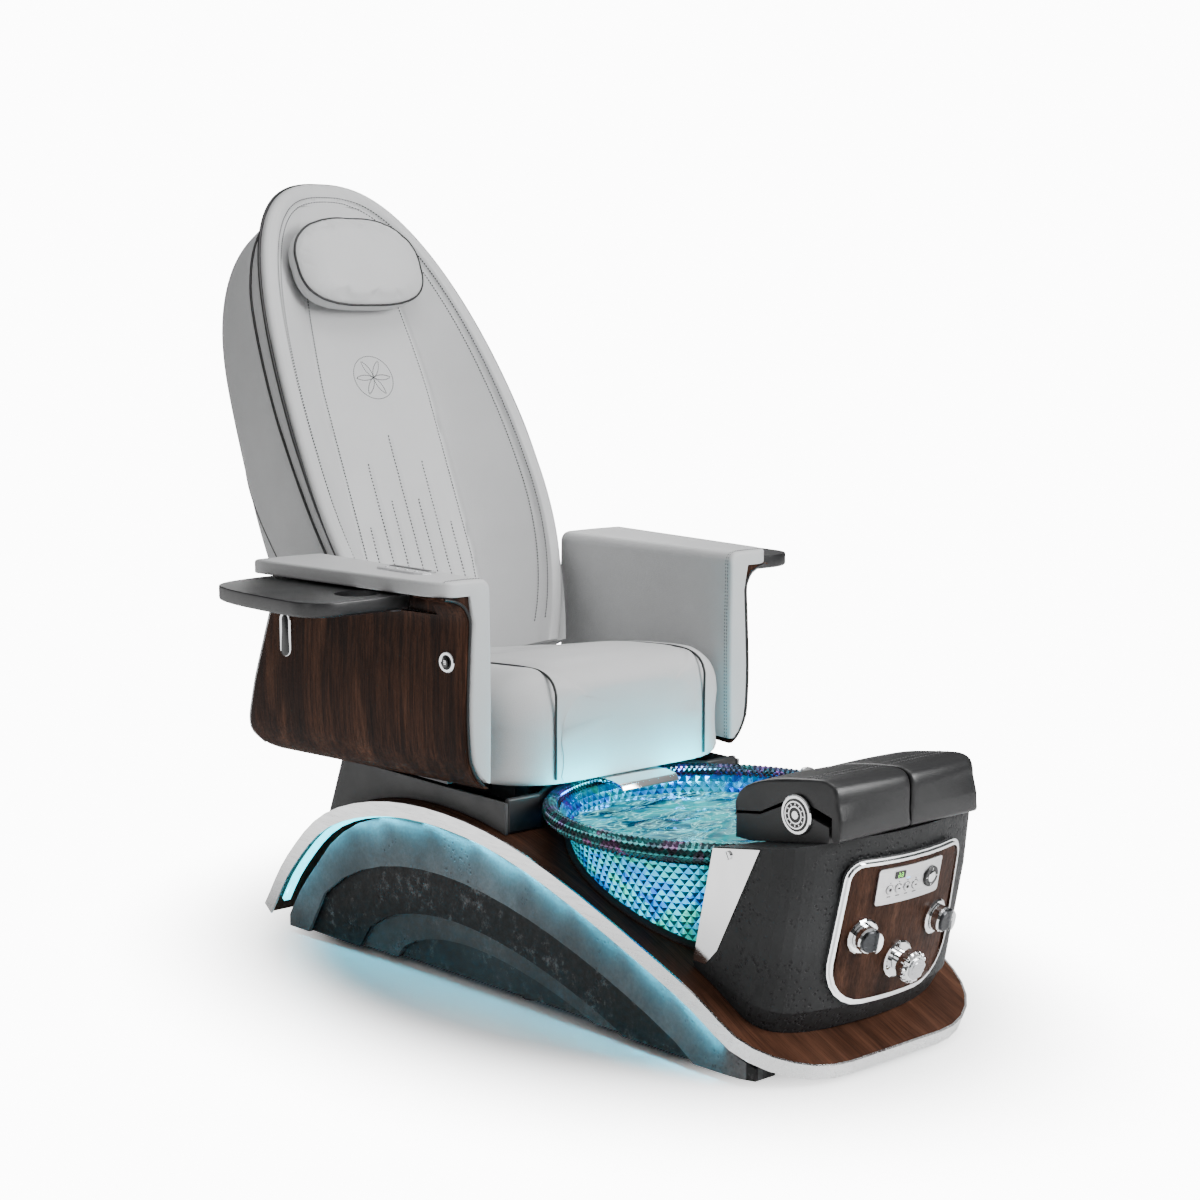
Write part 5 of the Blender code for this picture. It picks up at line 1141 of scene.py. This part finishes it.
petals = []
for first in np.arange(6) * math.pi / 3:
    x, s = ROSETTE_REACH * math.cos(first), ROSETTE_S + ROSETTE_REACH * math.sin(first)
    petals.append(rosette_arc(x, s, ROSETTE_REACH, first + np.linspace(math.tau / 3, 2 * math.tau / 3, 24)))
hoop = rosette_arc(0, ROSETTE_S, ROSETTE_HOOP * ROSETTE_REACH, np.linspace(0, math.tau, 60))
sewing("back_rosette", [*petals, hoop], thread, "back", 0.0042, 0.0034, 0.0012)


# Back shell: an upholstered rear cover with a band of leather between two black pipings round its
# side, and a swept seam towards the rear.
SHELL_TOP, SHELL_DEPTH, SHELL_SWELL, SHELL_SHALLOW = 1.000, 0.190, 0.018, 0.050
SHELL_SECTION = (
    (0.992, 0.0), (1.004, 0.10), (1.008, 0.25), (1.000, 0.52),
    (0.955, 0.78), (0.720, 0.95), (0.350, 0.99), (0.0, 1.0),
)
BAND_START = 0.0025
BAND_WIDE = (
    (0.0, 0.012), (0.15, 0.016), (0.25, 0.022), (0.5, 0.037),
    (0.8, 0.043), (0.95, 0.034), (1.0, 0.020),
)
BOARD_HALF, BOARD_TOP, BOARD_REAR = 0.131, 0.852, 0.0575
shell_fine = curve_through(SHELL_SECTION, 44)


def shell_half(s):
    if s > BACK_WAIST:
        share = (s - BACK_WAIST) / (SHELL_TOP - BACK_WAIST)
        return min(back_half(s), BACK_HALF * max(0, 1 - share**2) ** 0.31)
    return BACK_HALF * math.sqrt(1 - ((BACK_WAIST - s) / 0.62) ** 2)


def shell_span(s):
    """Where the shell starts behind the cushion, and how deep it goes."""
    fade = math.sqrt(max(0, 1 - (max(0, s - 0.62) / 0.38) ** 5))
    swell = SHELL_SWELL * math.exp(-(((s - 0.74) / 0.16) ** 2))
    return -wing(s) + 0.0085, SHELL_SHALLOW + (SHELL_DEPTH - SHELL_SHALLOW) * fade + swell


def band_end(s):
    """How far behind the cushion's rim the rear piping lies."""
    return BAND_START + float(np.interp(s, *zip(*BAND_WIDE)))


def shell_side(s, share):
    """A point of the shell's section: share 0 at the cushion, 1 on the middle of the rear."""
    half, (start, deep) = shell_half(s), shell_span(s)
    row = share * (len(shell_fine) - 1)
    wide, back = (np.interp(row, range(len(shell_fine)), shell_fine[:, axis]) for axis in (0, 1))
    reach = back * (deep - start)
    past = (reach - band_end(s)) / 0.010
    step = 0.0035 / (1 + math.exp(-max(-9, min(9, 6 * past)))) if s < 0.98 else 0
    pinch = -0.002 * math.exp(-(past**2)) - 0.0015 * math.exp(-(((reach - BAND_START) / 0.008) ** 2))
    return half * wide + (step + pinch) * min(1, wide * 1.2), start + reach


shell_rings = []
for s in rising(BACK_FOOT, SHELL_TOP, 24, 60, 1.53):
    half, (_, deep) = shell_half(s), shell_span(s)
    flat = min(flat_half(s)[0], 0.5 * half)
    outer = [shell_side(s, share) for share in np.linspace(0, 1, 60)]
    front = []
    for share in (0, 0.25, 0.5, 0.75, 0.9):
        x = flat + (half - 0.010 - flat) * share
        rest = back_rear(x, s) + 0.0026
        covered = BOARD_REAR if abs(x) < BOARD_HALF and s < BOARD_TOP else rest
        front.append((x, min(max(rest, covered), deep - 0.012)))
    ring = front + outer + [(-x, n) for x, n in reversed(outer[:-1])] + [(-x, n) for x, n in reversed(front)]
    shell_rings.append([on_back(x, s, n) for x, n in ring])
shell = build("back_cover", joined(shell_rings), grey_leather, "back", 60)
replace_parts(shell, "back_shell")


def over_top(side):
    """A path up one side of the back and down the other."""
    return [on_back(x, s, n) for x, s, n in side] + [on_back(-x, s, n) for x, s, n in reversed(side)]


rim_side = []
for s in rising(0.0, BACK_TOP, 14, 60, 1.56):
    rim_side.append((back_half(s) + np.interp(s, (0.25, 0.45), (-0.0026, 0.0030)), s, 0.0106 - wing(s)))
piping("back_piping", [over_top(rim_side)], 0.0035, black_welt, "back")
band_side = []
for s in rising(0.0, SHELL_TOP - 0.002, 14, 34, 1.50):
    spots = np.array([shell_side(s, share) for share in np.linspace(0, 0.7, 90)])
    depth = shell_span(s)[0] + band_end(s)
    band_side.append((np.interp(depth, spots[:, 1], spots[:, 0]) + 0.0012, s, depth))
piping("shell_piping", [over_top(band_side)], 0.0028, black_welt, "back")
swept = []
for sign in (-1, 1):
    path = []
    for t in np.linspace(0, 1, 50):
        s = 0.10 + 0.58 * t
        x, n = shell_side(s, 0.30 + 0.34 * t**1.6)
        path.append(on_back(sign * (x + 0.0004), s, n))
    swept.append((path, [(sign, 0.25, 0)] * len(path)))
sewing("shell_stitching", swept, thread, "back")
piping("shell_seam", [path[::4] for path, _ in swept], 0.0011, thread, "back")


# Head pillow: a bean-shaped foam pad with a crowned face sewn to its sides by a black piping, held
# on the back cushion.
PILLOW_ROWS = (
    (-0.0029, 0.50), (-0.006, 0.72), (-0.018, 0.88), (-0.030, 0.97), (-0.042, 1.0), (-0.056, 0.985),
    (-0.066, 0.93), (-0.075, 0.78), (-0.081, 0.55), (-0.0845, 0.28), (-0.0855, 0.08),
)
PILLOW_S, PILLOW_HALF, PILLOW_UP, PILLOW_DOWN, PILLOW_TURNS = 0.846, 0.161, 0.101, 0.106, 72
SWELL_CAP, SWELL_STEPS, SWELL_PRESSURE, SWELL_GRID = 0.004, 20, 4.0, 0.005


def pillow_place(share, turn):
    c, d = math.cos(turn), math.sin(turn)
    rise = PILLOW_UP * abs(d) ** 0.95 if d > 0 else -PILLOW_DOWN * abs(d) ** 0.62
    rise *= 0.5 + 0.5 * share if share > 0.9 else share
    return PILLOW_HALF * share * math.copysign(abs(c) ** 0.78, c), PILLOW_S + rise


def settled(thing):
    """The mesh of a piece after its modifiers."""
    return bpy.data.meshes.new_from_object(thing.evaluated_get(bpy.context.evaluated_depsgraph_get()))


def plumped(thing):
    """Let a closed pad swell under its own filling, no point further than the cap."""
    remesh = thing.modifiers.new("even", "REMESH")
    remesh.mode = "VOXEL"
    remesh.voxel_size = SWELL_GRID
    even = settled(thing)
    thing.modifiers.clear()
    thing.data = even
    rest = np.array([vertex.co[:] for vertex in even.vertices])
    cloth = thing.modifiers.new("filling", "CLOTH")
    cloth.settings.use_pressure = True
    cloth.settings.uniform_pressure_force = SWELL_PRESSURE
    cloth.settings.quality = 4
    cloth.settings.effector_weights.gravity = 0
    cloth.point_cache.frame_start, cloth.point_cache.frame_end = 1, SWELL_STEPS
    for step in range(1, SWELL_STEPS + 1):
        bpy.context.scene.frame_set(step)
    swell = np.array([vertex.co[:] for vertex in settled(thing).vertices]) - rest
    far = np.linalg.norm(swell, axis=1, keepdims=True)
    kept = rest + swell * np.minimum(1, SWELL_CAP / np.maximum(far, 1e-9))
    thing.modifiers.clear()
    bpy.context.scene.frame_set(1)
    for vertex, place in zip(even.vertices, kept):
        vertex.co = place
    finer = thing.modifiers.new("finer", "SUBSURF")
    finer.levels = finer.render_levels = 1
    thing.data = settled(thing)
    thing.modifiers.clear()
    thing.data.shade_smooth()


def pillow_welt(n, share):
    path = []
    for turn in np.append(pillow_turns, math.tau):
        aim = Vector(on_back(*pillow_place(share, turn), n))
        hit, spot, out, _ = pillow.closest_point_on_mesh(aim)
        path.append(spot + out * 0.0006 if hit else aim)
    return path


pillow_turns = np.arange(PILLOW_TURNS) * math.tau / PILLOW_TURNS
pillow_rings = []
for n, share in curve_through(PILLOW_ROWS, 34):
    pillow_rings.append([on_back(*pillow_place(share, turn), n) for turn in pillow_turns])
pillow = build("head_pillow", joined(pillow_rings), grey_leather, "back", 70)
plumped(pillow)
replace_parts(pillow, "pillow")
bpy.context.view_layer.update()
piping("pillow_piping", [pillow_welt(-0.060, 0.975), pillow_welt(-0.014, 0.84)], 0.0027, black_welt, "back")


# Foot flaps: two black leather pads over the bracket, sewn along the front edge, each hinged on the
# pin at its front so that it flips forward.
HINGE_Y, HINGE_Z, HINGE_ROUND = -1.0655, 0.4155, 0.0085
HUB_Y, HUB_Z, HUB_ROUND = -0.984, 0.439, 0.033
PAD_END, PAD_GAP, PAD_ROUND = 0.167, 0.002, 0.0060
FLAP_TOP = (
    (-1.0755, 0.440), (-1.0758, 0.462), (-1.0745, 0.482), (-1.067, 0.4965), (-1.047, 0.5025),
    (-1.010, 0.500), (-0.972, 0.495), (-0.936, 0.489), (-0.906, 0.482), (-0.880, 0.473),
    (-0.858, 0.462), (-0.843, 0.447), (-0.837, 0.431), (-0.8385, 0.4185),
)
FLAP_UNDER = ((-0.8395, 0.4125), (-0.8435, 0.4125), (-0.8445, 0.4205), (-0.899, 0.4285), (-0.948, 0.4530))
FLAP_LAST = (-1.0565, 0.446)
STITCH_ROWS = (30, 34)


def arc(y, z, reach, first, last):
    turns = np.radians(np.linspace(first, last, 9))
    return [(y + reach * math.cos(a), z + reach * math.sin(a)) for a in turns]


flap_roll = arc(HINGE_Y, HINGE_Z, HINGE_ROUND, 0, -180)
flap_top = curve_through(FLAP_TOP, 64)
flap_under = [*FLAP_UNDER, *arc(HUB_Y, HUB_Z, HUB_ROUND, 30, 145), FLAP_LAST]


def flap_ring(x, draw):
    """One section of a flap, drawn in near its ends and bowed back towards the outside."""
    ring = [(x, y, z) for y, z in flap_roll]
    bow = 0.009 * (x / PAD_END) ** 2
    for y, z in flap_top:
        inward = Vector((0, -0.96 - y, 0.445 - z)).normalized()
        front = min(1, max(0, (z - 0.44) / 0.03)) * min(1, max(0, (-0.99 - y) / 0.06))
        ring.append((x, y + inward.y * draw + bow * front, z + inward.z * draw))
    return ring + [(x, y, z) for y, z in flap_under]


end_turns = np.radians((0, 15, 35, 60, 90))
end_round = [(PAD_ROUND * (1 - math.cos(a)), PAD_ROUND * (1 - math.sin(a))) for a in end_turns]
flap_xs = [(PAD_GAP + x, draw) for x, draw in end_round]
for x in np.linspace(0.018, PAD_END - 0.016, 14):
    flap_xs.append((x, -0.0016 * math.sin(math.pi * (x - PAD_GAP) / (PAD_END - PAD_GAP))))
flap_xs += [(PAD_END - x, draw) for x, draw in reversed(end_round)]
flap_rings = [flap_ring(x, draw) for x, draw in flap_xs]
flap_shape = joined(flap_rings, flat_ends=True)
black_leather = leather("black_leather", (0.0105, 0.0108, 0.0115), 0.34)
black_thread = moulded("black_thread", (0.035, 0.035, 0.037), 0.6, 0.0002, 2500.0)
for side, sign in SIDES:
    shape = flipped(flap_shape, sign)
    flap = build(f"foot_pad_{side}", shape, black_leather, f"foot_flap_{side}", 45)
    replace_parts(flap, f"footrest_pad_{side}")
    lines = []
    for row in STITCH_ROWS:
        path = [(sign * ring[row][0], ring[row][1], ring[row][2] + 0.0004) for ring in flap_rings[4:-4]]
        lines.append((path, [(0, -0.2, 1)] * len(path)))
    sewing(f"foot_stitching_{side}", lines, black_thread, f"foot_flap_{side}")


# Keypad: a small display behind glass, printed marks over and under the keys on the silver panel, a
# mark on each key, and four ticks on the ring round the jet button.
BOARD_Z, BOARD_LEAN, BOARD_BOW = 0.243, math.radians(10.758), 0.5242
BOARD_SPOT = Vector((0, -1.05302, BOARD_Z))
PANEL_FACE, PANEL_Z, RING_U, DISPLAY_V = 0.0106, 0.3205, 0.048, 0.0175
KEY_US = (-0.048, -0.029, -0.0097, 0.0097)
DIGIT_US = (-0.0322, -0.0258)
DIGIT_BARS = (
    (0, 0.0036, 1), (0, 0, 1), (0, -0.0036, 1),
    (0.0018, 0.0018, 0), (0.0018, -0.0018, 0), (-0.0018, -0.0018, 0),
)
board_up = Vector((0, -math.sin(BOARD_LEAN), math.cos(BOARD_LEAN)))
board_out = Vector((0, -math.cos(BOARD_LEAN), -math.sin(BOARD_LEAN)))
board_axes = Matrix((Vector((1, 0, 0)), board_up, board_out)).transposed().to_4x4()
board = Matrix.Translation(BOARD_SPOT) @ board_axes


def up_board(z):
    """How far up the leaning board a height lies."""
    return (z - BOARD_Z) / math.cos(BOARD_LEAN)


def board_at(u, v, n):
    """A place on the bowed board: x along it, y up, z out of it."""
    bowed = Matrix.Translation((0, v, -BOARD_BOW)) @ Matrix.Rotation(u / BOARD_BOW, 4, "Y")
    return board @ bowed @ Matrix.Translation((0, 0, BOARD_BOW + n))


def panel_spot(u, v):
    return board_at(u, up_board(PANEL_Z) + v, PANEL_FACE)


def turned_by(place, share):
    """A place turned about its own axis by a share of a full turn."""
    return place @ Matrix.Rotation(share * math.tau, 4, "Z")


def top_over(place, name):
    """How far a solid stands out over a place."""
    back = place.inverted()
    return max((back @ Vector(vertex.co)).z for vertex in nodes[name].data.vertices)


def disc(reach, steps, start=0.0, end=math.tau):
    """A round outline, or a part of one closed by its chord."""
    turns = np.linspace(start, end, steps, endpoint=end - start < math.tau - 0.01)
    return [(reach * math.cos(a), reach * math.sin(a)) for a in turns]


def oblong(half_u, half_v, round_by=0.0, steps=5):
    """A rounded rectangle."""
    outline = []
    for u, v, first in ((1, 1, 0), (-1, 1, 90), (-1, -1, 180), (1, -1, 270)):
        for a in np.radians(np.linspace(first, first + 90, steps) if round_by else [first + 45]):
            x, y = u * (half_u - round_by), v * (half_v - round_by)
            outline.append((x + round_by * math.cos(a), y + round_by * math.sin(a)))
    return outline


def moved(outline, u, v=0.0):
    return [(x + u, y + v) for x, y in outline]


def raised_shape(place, outline, foot, top):
    """A flat shape at a place, from its foot to a top with a softened edge."""
    outline = np.array(outline)
    ways = outline.mean(axis=0) - outline
    ways /= np.linalg.norm(ways, axis=1, keepdims=True) + 1e-9
    soft = 0.25 * abs(top - foot)
    rings = []
    for z, draw in ((foot, 0.0), (top - soft, 0.0), (top, soft)):
        rings.append([tuple(place @ Vector((*point, z))) for point in outline + ways * draw])
    return joined(rings, flat_ends=True)


def raised(name, shapes, material, body, crease=35):
    """Flat shapes as one piece, each with a place, an outline, a foot and a top."""
    return build(name, merged(raised_shape(*shape) for shape in shapes), material, body, crease)


gloss_black = moulded("gloss_black", (0.005, 0.005, 0.0055), 0.30, 0.00005)
glass = [(panel_spot(-0.0290, DISPLAY_V), oblong(0.0115, 0.0062, 0.0012), 0.0002, 0.0010)]
raised("display_glass", glass, gloss_black, "base", 30)
digits = []
for at in DIGIT_US:
    for u, v, flat in DIGIT_BARS:
        bar = oblong(0.0014, 0.0004) if flat else oblong(0.0004, 0.0014)
        digits.append((panel_spot(at + u, DISPLAY_V + v), bar, 0.0009, 0.00125))
raised("display_digits", digits, glowing("digit_green", (0.25, 0.95, 0.10), 2.2), "base", 30)
ring_face = board_at(RING_U, up_board(PANEL_Z), 0.0)
ring_top = top_over(ring_face, "jet_ring")
tick = moved(oblong(0.0018, 0.0007), 0.0135)
ticks = [(turned_by(ring_face, k / 4), tick, ring_top - 0.0004, ring_top + 0.0004) for k in range(4)]
raised("ring_ticks", ticks, moulded("printed_white", (0.75, 0.75, 0.76), 0.5), "base", 30)
marks = []
for k, u in enumerate(KEY_US):
    marks.append((panel_spot(u, 0.0052), disc(0.0011, 10), 0.0001, 0.0005))
    marks.append((panel_spot(u, -0.0185), oblong(0.0036 + 0.0008 * (k % 2), 0.0007), 0.0001, 0.0005))
raised("panel_marks", marks, moulded("printed_grey", (0.06, 0.06, 0.065), 0.5), "base", 30)
ready = [(panel_spot(KEY_US[2], 0.0092), oblong(0.0042, 0.0010, 0.0009), 0.0001, 0.0007)]
raised("ready_light", ready, glowing("ready_blue", (0.25, 0.55, 1.0), 1.6), "base", 30)
for key, u in enumerate(KEY_US, 1):
    face = panel_spot(u, -0.006)
    top = top_over(face, f"keypad_button_{key}")
    icon = disc(0.0030, 16) if key % 2 else oblong(0.0026, 0.0011, 0.0005)
    mark = [(face, icon, top, top + 0.0004)]
    raised(f"key_mark_{key}", mark, gloss_black, f"key_{key}", 30)


# Valve handles: chrome flanges with a dark turned face and a half-moon grip, and a plain plate with a
# crown of cogs on the diverter's head.
VALVE_U, VALVE_Z, DIVERTER_Z = 0.087, 0.239, 0.185
for name, u in (("hot", -VALVE_U), ("cold", VALVE_U)):
    face = board_at(u, up_board(VALVE_Z), 0.0)
    top = top_over(face, f"{name}_knob")
    dark = brushed(f"{name}_dark", (0.05, 0.052, 0.055), "X", 0.30)
    dial = [(face, disc(0.0185, 36), top - 0.0045, top + 0.0012)]
    raised(f"{name}_face", dial, dark, f"{name}_handle")
    grip = [(face, disc(0.0215, 26, -1.15, 1.15), top - 0.004, top + 0.0065)]
    raised(f"{name}_grip", grip, bright_chrome, f"{name}_handle")
face = board_at(0, up_board(DIVERTER_Z), 0.0)
top = top_over(face, "diverter_knob")
plates = [
    (face, disc(0.0185, 40), top - 0.001, top + 0.0016),
    (face, disc(0.0120, 32), top + 0.0012, top + 0.0024),
]
turned_silver = brushed("turned_silver", (0.62, 0.63, 0.65), "X", 0.24)
raised("diverter_plate", plates, turned_silver, "diverter_handle")
cog = moved(oblong(0.0036, 0.0030, 0.001), 0.0245)
cogs = [(turned_by(face, k / 16), cog, top - 0.013, top - 0.003) for k in range(16)]
raised("diverter_crown", cogs, bright_chrome, "diverter_handle")


# Footrest caps: a black inlay with plain turned rings, studs and a boss in each chrome cap, pressed
# into the end of the bracket.
CAP_RINGS = ((0.0205, 0.0228), (0.0125, 0.0148))
CAP_STUDS = 12


def outward(name, sign, y, z):
    """A place on a solid's outer side, facing out."""
    low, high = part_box(name)
    tip = high[0] if sign > 0 else low[0]
    return Matrix.Translation((tip, y, z)) @ Matrix.Rotation(sign * math.pi / 2, 4, "Y")


for side, sign in SIDES:
    face = outward(f"footrest_cap_{side}", sign, HUB_Y, HUB_Z)
    inlay = [(face, disc(0.0262, 44), -0.0008, 0.0006)]
    raised(f"cap_inlay_{side}", inlay, gloss_black, "base")
    shapes = []
    for inner, outer in CAP_RINGS:
        loops = []
        for reach, z in ((inner, 0.0004), (inner, 0.0016), (outer, 0.0016), (outer, 0.0004)):
            loops.append([tuple(face @ Vector((x, y, z))) for x, y in disc(reach, 44)])
        shapes.append(joined(loops, closed=True))
    stud = moved(oblong(0.0017, 0.0010), 0.0176)
    shapes += [raised_shape(turned_by(face, k / CAP_STUDS), stud, 0.0004, 0.0015) for k in range(CAP_STUDS)]
    shapes.append(raised_shape(face, disc(0.0070, 28), 0.0004, 0.0018))
    build(f"cap_rings_{side}", merged(shapes), bright_chrome, "base", 35)


# Plate screws: one slotted chrome screw through each side plate into the console, with its slot
# turned a little. The slot is a gloss black bar on the head: painted shade inside the slot.
SCREW_Y, SCREW_Z, SLOT_TURN = -0.895, 0.366, 0.5 / math.tau
for side, sign in SIDES:
    face = outward(f"side_plate_{side}", sign, SCREW_Y, SCREW_Z)
    head = [(face, disc(0.0072, 28), 0.0002, 0.0034)]
    raised(f"plate_screw_{side}", head, bright_chrome, "base")
    # Painted shade: a gloss black bar stands for the shade in the slot.
    painted_slot_shade = (turned_by(face, SLOT_TURN), oblong(0.0058, 0.0008), 0.0030, 0.0036)
    raised(f"screw_slot_shade_{side}", [painted_slot_shade], gloss_black, "base")


# Near arm fittings: a gloss face with three bars on the button, a black filling in the oblong bezel, a
# gloss strip and dots on the touch control. A pale leather welt closes each walnut panel's rear edge.
SLOT_Y, SLOT_Z = 0.118, 0.625
PRESS_FACE = ((0.0, 0.0092), (0.0007, 0.0092), (0.0011, 0.0086))
PRESS_BARS = ((0.0028, 0.0042), (0.0, 0.0050), (-0.0028, 0.0036))
PRESS_BAR_HALF, PRESS_BAR_ENDS = 0.0007, (0.0009, 0.0014)
DOT_STEPS = (-2.4, -0.8, 0.8, 2.4)


def wood_x(y, z):
    return ARM_IN + float(np.interp(z, *zip(*WOOD_LINE))) + arm_splay(y)


press_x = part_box("arm_button")[0][0]


def on_button(outline, out):
    """An outline on the button, which leans with the arm's splay."""
    return [(press_x - out + ARM_SPLAY * u, press_y + u, press_z + v) for u, v in outline]


press_shape = joined([on_button(disc(reach, 36), out) for out, reach in PRESS_FACE], flat_ends=True)
build("press_face", press_shape, gloss_black, "arm_key", 35)
bars = []
for v, half in PRESS_BARS:
    bar = moved(oblong(half, PRESS_BAR_HALF), 0.0, v)
    bars.append(joined([on_button(bar, out) for out in PRESS_BAR_ENDS], flat_ends=True))
build("press_marks", merged(bars), bright_chrome, "arm_key", 35)
slot_rings = []
for out, draw in ((0.0004, 0.0), (0.0014, 0.0), (0.0018, 0.001)):
    outline = moved(oblong(0.0105 - draw, 0.0385 - draw, 0.0095 - draw, 8), SLOT_Y, SLOT_Z)
    slot_rings.append([(-wood_x(y, z) - out, y, z) for y, z in outline])
build("slot_filling", joined(slot_rings, flat_ends=True), gloss_black, "carriage", 35)
low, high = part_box("arm_control")
half_u, half_v = (high[0] - low[0]) / 2, (high[1] - low[1]) / 2
control = Matrix.Translation((low[0] + half_u, low[1] + half_v, high[2]))
strip = moved(oblong(0.22 * half_u, 0.86 * half_v, 0.003), 0.35 * half_u)
raised("control_strip", [(control, strip, 0.0001, 0.0009)], gloss_black, "carriage")
dots = []
for k in DOT_STEPS:
    dots.append((control, moved(disc(0.0042, 18), -0.4 * half_u, k * 0.27 * half_v), 0.0001, 0.0009))
raised("control_dots", dots, bright_chrome, "carriage")
for side, sign in SIDES:
    edge = []
    for z in np.linspace(0.400, 0.698, 14):
        edge.append((sign * (wood_x(rear_of(z), z) - 0.003), rear_of(z) + 0.0022, z))
    piping(f"panel_welt_{side}", [edge], 0.0034, grey_leather, "carriage")
